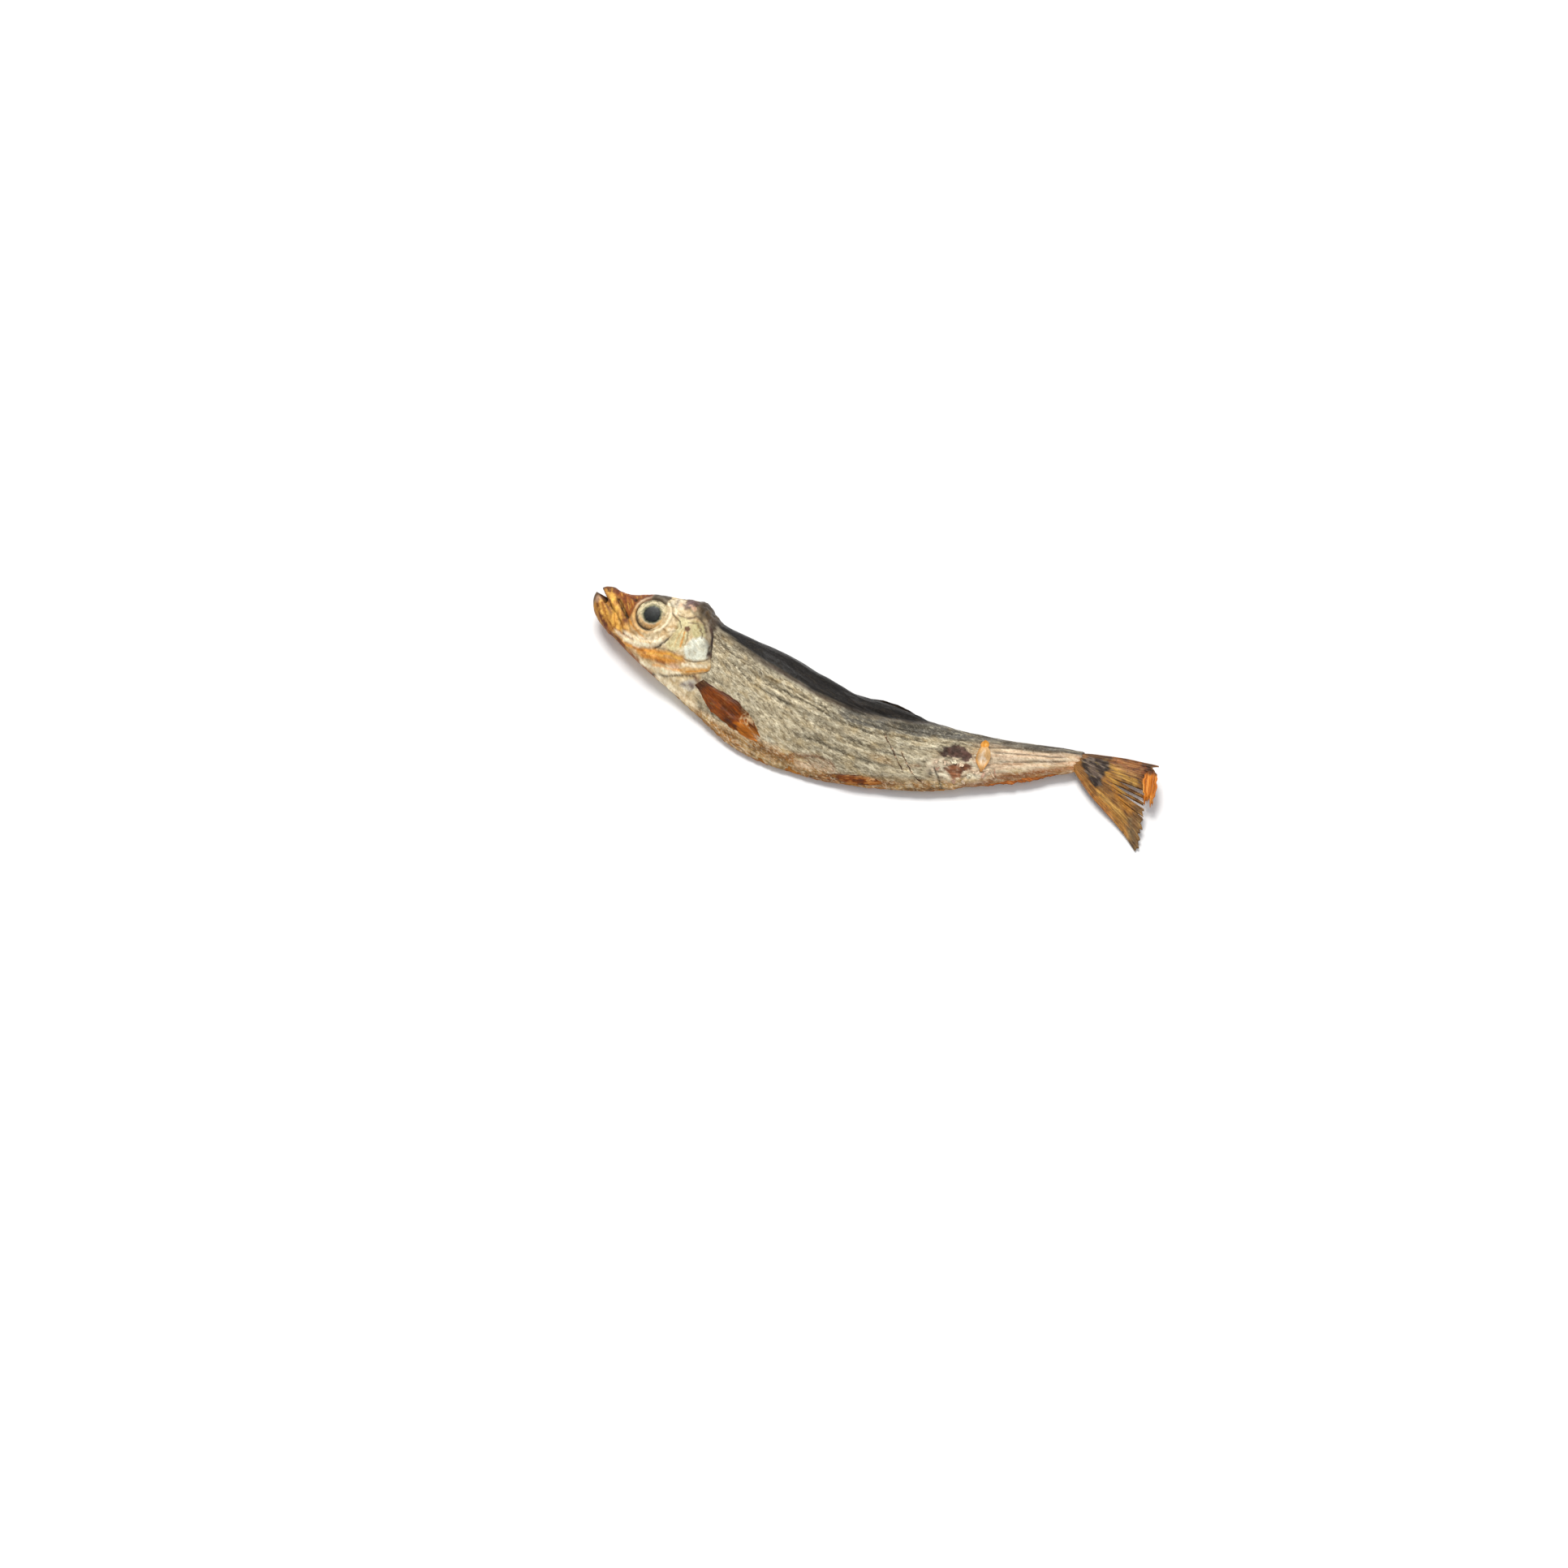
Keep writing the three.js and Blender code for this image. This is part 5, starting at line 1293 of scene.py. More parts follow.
def make_gill_cover(name, side):
    """A gill cover: a plate with its outline on the skin, highest towards its rear edge, with ridges
    fanning from its hinge and a curved groove above its lower plate. In front it lies flush."""
    tones = colours()
    outline = closed_curve(GILL_OUTLINE, GILL_GRID[1])

    def top(s, v, share):
        """A rise towards the rear, with the ridges, the groove and its lip, and lumps laid over it."""
        rear = ease((s - 17.6 + 0.25 * (v + 1)) / 6) * (0.35 + 0.65 * ease((v + 3.6) / 2.5))
        shape = (0.07 + (GILL_RISE - 0.10) * rear) * share
        below = lower_plate(s, v)
        lumps = cloud(s / 1.4, v / 1.1, side, 111)
        detail = (0.024 * gill_fan(s, v) * (1 - ease(below / 0.5)) - 0.08 * bell(below / 0.16)
                  + 0.05 * bell((below + 0.5) / 0.4) + 0.09 * lumps
                  + 0.03 * np.sin(9 * (v + 0.25 * s) + 2 * lumps) * ease(below / 0.4))
        return shape + detail * ease(share * 1.6)

    points, quads, fans, s, v, reach = plate_points(outline, side, top, -0.45)
    u = section(s, angle_at(s, v, side))[0]
    colour = head_colour(tones.flank, s, v, u, np.ones(len(s)), tones)
    colour = shade(colour, 1 + 0.08 * gill_fan(s, v) * (1 - ease(lower_plate(s, v) / 0.3)))
    lumps = cloud(s / 0.8, v / 0.8, u / 0.8, 113, 2)
    # rear: painted shadow along the cover's raised rear rim, near black to plum.
    rear = ease((reach - 0.88 + 0.07 * lumps + 0.10 * ease((1.5 - v) / 2)) / 0.07)
    rear = rear * ease((s - 20.6) / 2.0) * ease((v + 1.2) / 1.5)
    low_rim = ease((reach - 0.95) / 0.04) * ease((-v - 1.0) / 1.5) * ease(0.5 + lumps)
    colour = coats(
        colour,
        (0.92 * rear, between(tones.back * 1.5, tones.plum * 0.8, lumps + 0.5)),
        (0.5 * low_rim, tones.rust * 0.5),
    )
    shine = patch(s, v, SHINE_AREA, 0.8)
    behind = ease((s - 22.5 - 0.5 * (v + 1)) / 3)
    put_mesh(name, points, quads, smoked_skin_material(name, tones), fans,
             flecked=0 * s, lined=np.clip(0.3 * shine + 0.3 * behind, 0, 1), gloss=0.5 + 0 * s,
             silver=np.clip(shine, 0, 1), fish_mm=np.stack([s, v + FLECK_SLANT * s, u], -1),
             skin_colour=within(colour))


def rays(q, r, count):
    """Fin rays as ridges across a fin: a wave with one crest for each ray, that forks towards the edge."""
    one, two = (np.abs(np.sin(np.pi * forks * count * (q + 0.5))) for forks in (1, 2))
    return mix(1 - one**0.8, 1 - two**0.8, ease((r - 0.45) / 0.3))


def fin_colours(q, r, ridge, root_tone, tip_tone, edge_tone, seed):
    """A fin's colour: one tone at the root gives way to another at the tip, a third runs along the edges,
    and all are lighter on the rays."""
    blotch = cloud(q * 5, r * 2, seed, 131 + seed)
    fibre = cloud(q * 26, r * 2.5, seed, 141 + seed, 2)
    colour = coats(
        root_tone,
        (ease(r * 2.2 + 0.3 * blotch), tip_tone),
        (0.55 * ease((np.abs(q) - 0.4 + 0.05 * blotch) / 0.1), edge_tone),
        (0.5 * ease((r - 0.86) / 0.14), edge_tone),
    )
    return np.clip(shade(colour, 0.82 + 0.35 * ridge + 0.3 * fibre + 0.2 * blotch), 0.004, 1)


def make_flank_fin(name, fin, side):
    """A paired fin folded back against the flank: narrow at its root, widest at a third, with low uneven
    ridges for its rays, a ragged outline and a frayed tip that lies down onto the skin."""
    tones = colours()
    height = sizes().ray_height / MM
    (root_s, root_v), (tip_s, tip_v) = fin["root"], fin["tip"]

    def bent(q, r):
        """q shifted by two slow waves, so that the rays aren't straight."""
        return q + 0.03 * np.sin(6 * r + 5 * q) + 0.02 * np.sin(17 * q + 2 * r)

    def spread(q, r):
        """s and v: straight from root to tip, and aside by q times a width that closes at the tip."""
        width = fin["half_width"] * (0.42 + 0.58 * ease(r / 0.40)) * np.sqrt(1 - 0.94 * r**3.2)
        edge = cloud(r * 11 + 3 * np.sign(q), 0, 0, 135)
        width = width * (1 + 0.17 * edge * ease((r - 0.1) / 0.2))
        run = r * (1 - 0.11 * ease((r - 0.5) / 0.5) * (1 + cloud(q * fin["rays"] * 1.3, 0, 0, 136, 2)))
        return mix(root_s, tip_s, run) - 1.2 * q * width, mix(root_v, tip_v, run) - 2 * q * width

    def face_points(q, r, face):
        """The lower face is sunk in the skin; the upper lies on it, with rays and a slow curl."""
        s, v = spread(q, r)
        curl = 0.10 * np.sin(3.4 * r + 2 * q) + 0.16 * cloud(q * 3, r * 5, 0, 137)
        lie = mix(0.19, 0.03, ease((np.abs(2 * q) - 0.6) / 0.4))
        lie = lie * mix(1, 0.35, ease((r - 0.7) / 0.3)) * mix(0.6, 1, ease(r * 5))
        ridge = height * 0.4 * rays(bent(q, r), r, fin["rays"])
        outside = mix(-0.35, lie, face + 0.5) + (ridge + 0.6 * curl * ease(r * 3)) * (face + 0.5)
        return on_skin(s, v, side, outside)

    def colour(q, r):
        """Golden brown in blotches, dark at the root and along the upper edge, pale at the tip."""
        ridge = rays(bent(q, r), r, fin["rays"])
        blotch = cloud(q * 2.6, r * 7, 3, 138)
        small = cloud(q * 8, r * 22, 3, 139, 2)
        upper = ease((-0.26 - q + 0.20 * blotch) / 0.18) * ease((0.85 - r) / 0.3)
        pale = ease((r - 0.60 + 0.45 * blotch) / 0.2) * ease((small + 0.2) * 2)
        colour = coats(
            srgb(138, 68, 2),
            (0.8 * ease(blotch * 2.2), srgb(176, 94, 8)),
            (0.7 * ease(-blotch * 2.2 - 0.2), srgb(86, 42, 8)),
            (0.9 * ease((0.20 - r + 0.15 * blotch) / 0.16), srgb(66, 38, 18)),
            (0.75 * upper, srgb(70, 42, 22)),
            (0.75 * ease((r - 0.66 + 0.2 * blotch + 0.3 * q) / 0.16), srgb(208, 122, 26)),
            (0.65 * pale * ease((0.1 - q) / 0.3), mix(tones.honey, tones.cream, 0.35)),
            (0.7 * ease((r - 0.84 + 0.1 * small) / 0.1), srgb(206, 128, 48)),
        )
        if fin is PELVIC:
            colour = paint(colour, 0.6 * ease(blotch * 2 + 0.5), srgb(200, 140, 74))
        return within(shade(colour, 0.88 + 0.16 * ridge + 0.22 * small + 0.12 * blotch))

    sheet_piece(name, face_points, FLANK_FIN_GRID, colour, 2 * fin["half_width"], 14,
                fin_material(name, tones, 0.65))


def make_midline_fin(name, fin, back):
    """A fin of the midline folded back along it: a low fringe whose free edge is swept towards the tail
    and torn unevenly."""
    tones = colours()
    height = sizes().ray_height / MM

    def face_points(q, r, face):
        """The midline's edge plus r times the height, along an arch that closes at both ends."""
        s = mix(fin["start"], fin["end"], q + 0.5) + fin["sweep"] * r
        edge = at_station(BACK_HEIGHT, s) if back else -at_station(BELLY_DEPTH, s)
        shape = np.sqrt(np.maximum(0, 1 - (2 * q) ** 2 * 0.9))
        torn = cloud(q * (7 if back else 16), 0, 0, 145)
        ragged = 0.86 + (0.10 if back else 0.30) * torn * ease(r * 1.5)
        rise = (fin["height"] * r * shape * ragged - 0.6) * (1 if back else -1)
        u = face * (FIN_THICKNESS * (1.5 - 1.1 * r) - 0.1) + 2 * face * 0.6 * height * rays(q, r, fin["rays"])
        return place(s, u, edge + rise)

    def colour(q, r):
        """Near black on the back, golden brown on the belly."""
        ridge = rays(q, r, fin["rays"])
        if back:
            return fin_colours(q, r, ridge, tones.back * 1.1, tones.back * 1.6, tones.plum * 0.6, 5)
        return fin_colours(q, r, ridge, tones.belly, srgb(186, 108, 42), tones.rust, 6)

    sheet_piece(name, face_points, MIDLINE_FIN_GRID, colour, fin["end"] - fin["start"], 3,
                fin_material(name, tones))


# The slits between the bundles of the tail: where across it, from which share of its length, how wide.
TAIL_SPLITS = [-0.5, -0.27, -0.12, -0.03, 0.05, 0.16, 0.5]
TAIL_SPLIT_DEPTH = [1, 0.84, 0.46, 0.42, 0.50, 0.76, 1]
TAIL_SPLIT_WIDTH = [0, 0.05, 0.30, 0.40, 0.26, 0.06, 0]
TAIL_RAYS = 15
TAIL_MM = (10, 15)  # across and along, for the marks and the grain
TAIL_MARKS = [  # corners in millimetres along and across, width, colour, strength
    ([(6.0, -3.2), (9.0, -2.2), (11.6, -1.8)], 0.55, (214, 170, 84), 0.75),
    ([(6.4, -1.4), (8.6, -0.6), (10.4, 0.2)], 0.45, (206, 160, 74), 0.7),
    ([(8.6, 0.6), (10.6, 1.8), (12.2, 2.2)], 0.6, (200, 136, 40), 0.75),
    ([(5.6, 3.2), (9.0, 3.4), (12.0, 3.4)], 0.4, (214, 172, 92), 0.55),
    ([(1.2, 4.2), (3.6, 5.0), (6.0, 4.9), (9.0, 4.7)], 0.4, (196, 128, 62), 0.8),
    ([(7.0, -4.4), (10.0, -4.2), (12.0, -4.3)], 0.4, (186, 124, 76), 0.7),
    ([(7.6, -3.6), (11.0, -3.2)], 0.22, (108, 66, 36), 0.7),
    ([(9.6, -1.4), (12.6, -0.4), (13.6, 0.6)], 0.4, (92, 62, 36), 0.7),
    ([(12.4, 3.0), (14.4, 4.6)], 0.7, (112, 98, 76), 0.75),
]
TAIL_UPPER_AREA = [(1.0, -6.5), (6.6, -6.5), (7.0, -4.6), (3.6, -3.4), (1.2, -3.0)]
TAIL_BASE_AREA = [(1.6, -2.4), (3.6, -4.0), (6.0, -4.1), (6.6, -2.3), (5.9, 1.3), (4.6, 2.9), (3.0, 2.2),
                  (1.8, 0.2)]


def tail_point(q, r, face, bundle=0, plain=False):
    """A point of the tail fin: q runs from its upper edge (-0.5) to its lower (0.5), r from the root to
    the free edge, face from its lower face (-0.5) to its upper (0.5). A plain one has no torn edge, rays
    or waves."""
    root_s = BODY_LENGTH - 2
    root = place(root_s, 0.0, 0.0)
    turn = heading(root_s)
    angle = np.radians(mix(TAIL_UP, TAIL_DOWN, q + 0.5))
    lobe = np.abs(2 * q) ** 1.5
    torn = (0.6 * np.abs(np.sin(31 * q + 0.8)) * r
            + ease((r - 0.7) / 0.3) * (0.6 + 1.1 * cloud(q * 34, 0, 0, 151)))
    whole = mix(TAIL_LENGTH["middle"], np.where(q < 0, TAIL_LENGTH["up"], TAIL_LENGTH["down"]), lobe) + 2
    length = whole if plain else whole - torn
    bow = (-0.55 * np.sin(2 * np.pi * r) * ease((q - 0.1) / 0.4)
           + 0.4 * np.sin(np.pi * r) * ease((-q - 0.1) / 0.4))
    away = -q * TAIL_ROOT * mix(0.86, 1, ease(r / 0.12)) + bow
    lift = mix(TAIL_LIFT["middle"], np.where(q < 0, TAIL_LIFT["up"], TAIL_LIFT["down"]), lobe)
    rounded = np.sqrt(np.maximum(0, 1 - 0.96 * (2 * q) ** 2))
    thick = mix(1.45, 0.32, ease(r * 2.5)) * (1 - 0.5 * ease((r - 0.85) / 0.15))
    thick = thick * mix(rounded, 1, ease((r - 0.1) / 0.25))
    sway = 0.16 * ease((r - 0.4) / 0.6) * np.sin(2.1 * bundle) + 0.30 * r * cloud(q * 6, r * 3, 0, 153, 2)
    ridge = sizes().ray_height / MM * 1.1 * rays(q + 0.010 * np.sin(7 * r + 15 * q), r, TAIL_RAYS)
    ridge = ridge * ease(r * 4)
    height = mix(root[2], lift, ease(r)) + (0 if plain else sway + face * thick + np.sign(face) * ridge)
    return np.stack([root[0] + away * np.sin(turn) + r * length * np.cos(angle),
                     root[1] + away * np.cos(turn) - r * length * np.sin(angle), height + 0 * q], -1)


def make_tail():
    """The tail fin: bundles of rays spread from the tail base, longest at the two lobes. Between the
    middle bundles a slit opens towards the torn end, and each bundle is a thin sheet with a ridge for
    each ray."""
    tones = colours()
    sheets = []
    slits = list(zip(TAIL_SPLITS, TAIL_SPLIT_DEPTH, TAIL_SPLIT_WIDTH))
    for k, ((upper, depth, before), (lower, next_depth, after)) in enumerate(zip(slits[:-1], slits[1:])):
        width = lower - upper
        columns = max(14, int(TAIL_GRID[1] * width))
        r, across = np.meshgrid(np.linspace(0, 1, TAIL_GRID[0]), np.linspace(0, 1, columns), indexing="ij")
        narrow = min(1, 0.1 / width)
        opened = (before * ease((r - depth) / 0.3) * (1 - across) * narrow
                  - after * ease((r - next_depth) / 0.3) * across * narrow)
        q = mix(upper, lower, across) + opened * width * 0.9
        tint = tail_colour(q, r, rays(q + 0.006 * np.sin(9 * r + 20 * q), r, TAIL_RAYS), tones)
        sheets.append((tail_point(q, r, 0.5, k), tail_point(q, r, -0.5, k), tint, q * TAIL_MM[0],
                       r * TAIL_MM[1]))
    put_sheets("tail_fin", sheets, fin_material("tail_fin", tones))


def tail_colour(q, r, ridge, tones):
    """The tail's colour: golden rays with brown between them, a brown upper lobe, the marks, a slate patch
    on its base and a dull torn end."""
    blotch = cloud(q * 7, r * 5, 0, 161)
    fibre = cloud(q * 34, r * 3.0, 0, 165)
    small = cloud(q * 16, r * 16, 0, 167, 2)
    long_mm = r * TAIL_MM[1] + 0.7 * blotch + 0.3 * small
    wide_mm = q * TAIL_MM[0] + 0.5 * fibre
    upper = ease((-0.22 - q) / 0.14)
    colour = coats(
        tones.membrane,
        (0.75 * ease(blotch * 1.8 + 0.1), srgb(192, 138, 62)),
        (0.65 * ease(-blotch * 1.8 - 0.1), srgb(116, 74, 36)),
        (0.75 * upper, between(srgb(150, 98, 58), srgb(196, 146, 100), fibre * 1.5 + 0.2)),
    )
    for corners, width, tone, strength in TAIL_MARKS:
        colour = paint(colour, strength * stroke(long_mm, wide_mm, corners, width), srgb(*tone))
    above = patch(long_mm, wide_mm, TAIL_UPPER_AREA, 0.9)
    base = patch(long_mm, wide_mm, TAIL_BASE_AREA, 0.7)
    slate = between(srgb(50, 46, 46), srgb(122, 112, 106), small * 1.8 + 0.5 * fibre)
    knot = spot(long_mm, wide_mm, (13.2, -4.1), (1.5, 0.9), 0.4)
    end = ease((r - 0.84 + 0.12 * blotch) / 0.12) * ease((q - 0.02) / 0.1)
    colour = coats(
        colour,
        (0.75 * above, between(srgb(94, 76, 60), srgb(160, 112, 70), fibre * 1.6)),
        (0.95 * base, slate),
        (0.5 * spot(long_mm, wide_mm, (4.2, -0.6), (1.1, 1.0), 0.7), srgb(160, 142, 130)),
        (0.9 * knot, between(srgb(58, 40, 32), srgb(128, 74, 44), small * 1.6 + 0.2)),
        (0.6 * end, srgb(104, 88, 66)),
    )
    return within(shade(colour, 0.80 + 0.30 * ridge + 0.34 * fibre + 0.14 * small))


TUFT_TOP, TUFT_LOW = (-0.405, 0.885), (0.085, 1.01)  # q and r of the tail fin where it hangs and ends


def make_tuft():
    """The frayed tuft of loose rays that hangs from the tip of the upper lobe along the free edge: a thin
    sheet with its threads running down it, a ragged outer side and torn points at its lower end."""
    top, low = (tail_point(np.array(q), np.array(r), 0.0, plain=True) for q, r in (TUFT_TOP, TUFT_LOW))
    way = low - top
    aside = np.array([-way[1], way[0], 0.0]) / np.hypot(way[0], way[1])

    def face_points(q, r, face):
        """Down the way from top to low by r, aside by q times an uneven width, and up by the threads."""
        frayed = 1 - 0.22 * ease((r - 0.5) / 0.5) * (1.0 + 0.9 * cloud(q * 9 + 2, 0, 0, 175))
        edge = cloud(r * 8 + np.sign(q) * 3, 0, 0, 176)
        width = mix(1.25, 0.85, r) * (0.60 + 0.40 * ease((r + 0.02) / 0.12)) * (1 + 0.30 * edge)
        run, out = r * frayed, 2 * q * width + 0.10 * np.sin(5 * r)
        points = top + way * run[..., None] + aside * out[..., None]
        threads = 0.09 * np.abs(np.sin(15 * q + 1.5 * np.sin(4 * r))) + 0.10 * cloud(q * 7, r * 4, 0, 177, 2)
        points[..., 2] += 0.42 + 0.35 * np.sin(np.pi * r) + (face - 0.5) * 0.34 + threads * (face + 0.5)
        return points

    def colour(q, r):
        """Orange gold in long streaks, dark where it hangs on."""
        fibre = cloud(q * 13, r * 2.2, 0, 179)
        base = coats(
            srgb(214, 124, 30),
            (0.7 * ease(fibre * 2.2 - 0.1), srgb(238, 176, 90)),
            (0.6 * ease(-fibre * 2.2 - 0.1), srgb(158, 84, 26)),
            (0.9 * ease((0.14 - r + 0.08 * fibre) / 0.10), srgb(84, 50, 34)),
            (0.4 * ease((r - 0.8 + 0.15 * fibre) / 0.15), srgb(170, 104, 50)),
        )
        return within(shade(base, 0.98 + 0.22 * fibre))

    sheet_piece("tail_tuft", face_points, TUFT_GRID, colour, 2.6, 7,
                fin_material("tail_tuft", colours(), 0.5))


def make_flake():
    """A curled flake of dried skin that stands off the left flank: an oval body with a round knob at
    its upper end, cupped by the square of its width and lifted away from the skin as it rises."""
    def face_points(q, r, face):
        """Up the flank by r and along it by q times the widest of the body, neck, knob and stem."""
        v = mix(FLAKE_BOTTOM - 0.1, FLAKE_TOP - 0.35, r)
        body = np.sqrt(np.maximum(0, 1 - np.abs((r - 0.44) / 0.40) ** 2.0)) * (0.72 + 0.28 * ease(r / 0.4))
        knob = 0.64 * np.sqrt(np.maximum(0, 1 - ((r - 0.86) / 0.142) ** 2))
        neck = 0.56 * ease((r - 0.55) / 0.2) * ease((0.96 - r) / 0.1)
        stem = 0.20 * ease((0.2 - r) / 0.2)
        width = np.maximum(np.maximum(np.maximum(body, knob), stem), neck)
        width = width * (1 + 0.07 * np.sin(11 * r + 3 * np.sign(q)))
        s = FLAKE_S + 0.15 + 2 * q * FLAKE_HALF_WIDTH * 0.92 * width + 0.9 * r
        curl = FLAKE_STAND * (ease(r) ** 1.5 * 0.75 + (2 * q) ** 2 * np.sin(np.pi * np.clip(r, 0, 1)) * 0.35)
        ripple = 0.07 * np.sin(12 * r) + 0.06 * np.sin(13 * q + 5 * r)
        return on_skin(s, v, 1, curl - 0.05 + ripple + face * (0.34 - 0.2 * (2 * q) ** 2))

    def colour(q, r):
        """Cream in the middle with a painted highlight of near white, amber at the rim and the knob."""
        lumps = cloud(q * 4, r * 6, 0, 171)
        base = coats(
            srgb(222, 178, 120),
            # A painted highlight of near white in the middle of the flake.
            (0.85 * spot(q, r, (0.03, 0.46), (0.3, 0.22), 0.6) * ease(lumps * 1.5 + 0.7),
             srgb(250, 238, 218)),
            (0.8 * ease((np.abs(q) - 0.38 + 0.12 * lumps) / 0.10), srgb(214, 146, 66)),
            (0.92 * ease((r - 0.74 + 0.05 * lumps) / 0.08), srgb(220, 146, 44)),
            (0.6 * spot(q, r, (0.1, 0.88), (0.16, 0.05), 0.6), srgb(246, 196, 104)),
            (0.7 * ease((0.22 - r) / 0.15), srgb(206, 150, 84)),
        )
        return within(shade(base, 1 + 0.18 * lumps))

    sheet_piece("loose_flake", face_points, FLAKE_GRID, colour, 2.6, 6,
                fin_material("loose_flake", colours(), 0.12))


SHREDS = [  # station, height, length, half width, turn in degrees
    (69.4, -1.6, 0.9, 0.34, 30), (70.2, -2.8, 0.7, 0.28, 80), (72.3, -1.1, 1.1, 0.34, 10),
    (73.9, -1.2, 0.9, 0.32, -35), (76.3, -2.5, 1.1, 0.30, -20), (77.6, -3.3, 0.8, 0.24, 12),
    (75.2, -3.7, 0.9, 0.30, 40), (74.2, -4.4, 0.7, 0.24, -10), (79.0, -2.4, 1.5, 0.12, -42),
    (80.0, -2.2, 1.2, 0.10, -70), (76.6, 0.4, 0.6, 0.20, -60), (71.2, -1.7, 0.7, 0.26, 60),
    (78.2, -2.9, 0.9, 0.26, 20), (72.6, -4.2, 0.7, 0.26, -40),
]


def make_shreds():
    """Small torn shreds of skin round the scar: each a low curled scale, rounded at both ends, whose
    free end rises a little from the skin. Their pale tones take turns."""
    tones = colours()
    pale = mix(tones.cream, tones.stock, 0.7)
    shred_tones = (pale, srgb(212, 172, 148), tones.cream, pale)
    r, q = sheet_grid(*SHRED_GRID)
    rounded = np.sqrt(np.clip(1 - (2 * (r * 0.97 + 0.015) - 1) ** 2, 0, 1))
    sheets = []
    for k, (s0, v0, length, width, turn) in enumerate(SHREDS):
        c, d = np.cos(np.radians(turn)), np.sin(np.radians(turn))
        along = length * r
        torn = cloud(r * 7, np.sign(q) * 2.0, 3 * k, 181)
        across = width * 2 * q * rounded * (1 + 0.75 * torn) + 0.18 * np.sin(3 * r + k)
        s, v = s0 + along * c - across * d, v0 + along * d + across * c
        lift = 0.09 * r**2 + 0.04 * (2 * q) ** 2 + 0.04 * np.sin(9 * q + 7 * r + k)
        tint = shade(shred_tones[k % len(shred_tones)], 0.80 + 0.20 * r + 0.35 * torn)
        sheets.append((on_skin(s, v, 1, lift + 0.12), on_skin(s, v, 1, lift * 0.5 - 0.06), tint, across,
                       along))
    put_sheets("torn_shreds", sheets, fin_material("torn_shreds", tones, 0.25))


def make_threads():
    """The thin dark threads stuck across the left flank: a small circle carried along each line on the
    skin, swelling into a bead at uneven steps and closing to a point at both ends."""
    points, faces, fans, tints, positions, start = [], [], [], [], [], 0
    steps, ring_points = THREAD_GRID
    turn = circle(ring_points)
    for k, corners in enumerate(SCRATCHES):
        p = np.asarray(corners, float)
        away = np.append(0, np.cumsum(np.hypot(*np.diff(p, axis=0).T)))
        t = np.linspace(0, away[-1], steps)
        wobble = 0.035 * np.sin(4.3 * t + k) + 0.025 * np.sin(9.7 * t + 2 * k)
        s, v = np.interp(t, away, p[:, 0]) + wobble, np.interp(t, away, p[:, 1]) + 0.5 * wobble
        middle = on_skin(s, v, 1, 0.07 + 0.05 * np.sin(2.1 * t + k))
        along = np.gradient(middle, axis=0)
        along /= np.linalg.norm(along, axis=1)[:, None]
        out = on_skin(s, v, 1, 1.0) - middle
        out -= along * np.einsum("ij,ij->i", out, along)[:, None]
        out /= np.linalg.norm(out, axis=1)[:, None]
        beads = np.maximum(0, np.sin(3.1 * t + 0.9 * np.sin(1.7 * t) + 1.3 * k)) ** 5
        closing = np.sqrt(np.clip(np.minimum(t, away[-1] - t) / 0.5, 0.02, 1))
        radius = (0.07 + 0.02 * np.sin(2.3 * t) + 0.08 * beads) * closing
        spoke = np.cos(turn)[:, None] * out[:, None] + np.sin(turn)[:, None] * np.cross(along, out)[:, None]
        ring = middle[:, None] + radius[:, None, None] * spoke
        count = steps * ring_points
        points += [ring.reshape(-1, 3), middle[[0, -1]]]
        faces.append(grid_quads(steps, ring_points, True) + start)
        fans.append(end_fans(count, ring_points) + start)
        start += count + 2
        faint = ease(0.3 - 1.6 * np.sin(1.9 * t + 2 + k))
        tone = mix(srgb(74, 44, 28), srgb(150, 116, 84), (0.45 * faint)[:, None])
        tone = mix(tone, srgb(226, 196, 164), (0.85 * beads)[:, None])
        tints += [np.repeat(tone, ring_points, 0), tone[[0, -1]]]
        fin_mm = np.stack([np.tile(turn, steps), np.repeat(t, ring_points), np.zeros(count)], -1)
        positions += [fin_mm, np.zeros((2, 3))]
    put_mesh("dark_threads", np.vstack(points), np.vstack(faces),
             fin_material("dark_threads", colours(), 0.3),
             np.vstack(fans), fin_mm=np.vstack(positions), fin_colour=np.vstack(tints))


SCUTE_FIRST, SCUTE_LAST, SCUTE_COUNT = 17.0, 73.0, 34


def make_scutes():
    """The scutes of the belly edge: small low plates astride it, each pointing back over the next.
    Across a scute q runs from flank to flank; along it the keel rises and drops at its tip."""
    tones = colours()
    height = sizes().scute_height / MM
    pitch = (SCUTE_LAST - SCUTE_FIRST) / SCUTE_COUNT
    r, q = sheet_grid(*SCUTE_GRID)
    aside = np.abs(2 * q)
    width = 0.8 * (1 - 0.6 * r)
    sheets = []
    for k in range(SCUTE_COUNT):
        s = SCUTE_FIRST + pitch * (k + 1.15 * r)
        keel = height * (0.7 + 0.3 * np.sin(k * 5.1)) * ease(r / 0.9) * (1 - 0.6 * ease((r - 0.9) / 0.1))
        down = -at_station(BELLY_DEPTH, s) + 1.5 * aside**1.4
        outer = place(s, 2 * q * width, down - (keel + 0.02) * (1 - aside))
        inner = place(s, 2 * q * width * 0.7, down + 0.45)
        front = ease((36 - SCUTE_FIRST - pitch * k) / 12)
        tone = mix(tones.belly, tones.rust, 0.35 + 0.35 * np.sin(k * 2.3))
        tone = mix(tone, tones.honey, front * (0.6 + 0.3 * np.sin(k * 3.7)))
        sheets.append((outer, inner, shade(tone, 0.85 + 0.3 * r), 2 * q, s))
    put_sheets("belly_scutes", sheets, fin_material("belly_scutes", tones, 0.5))


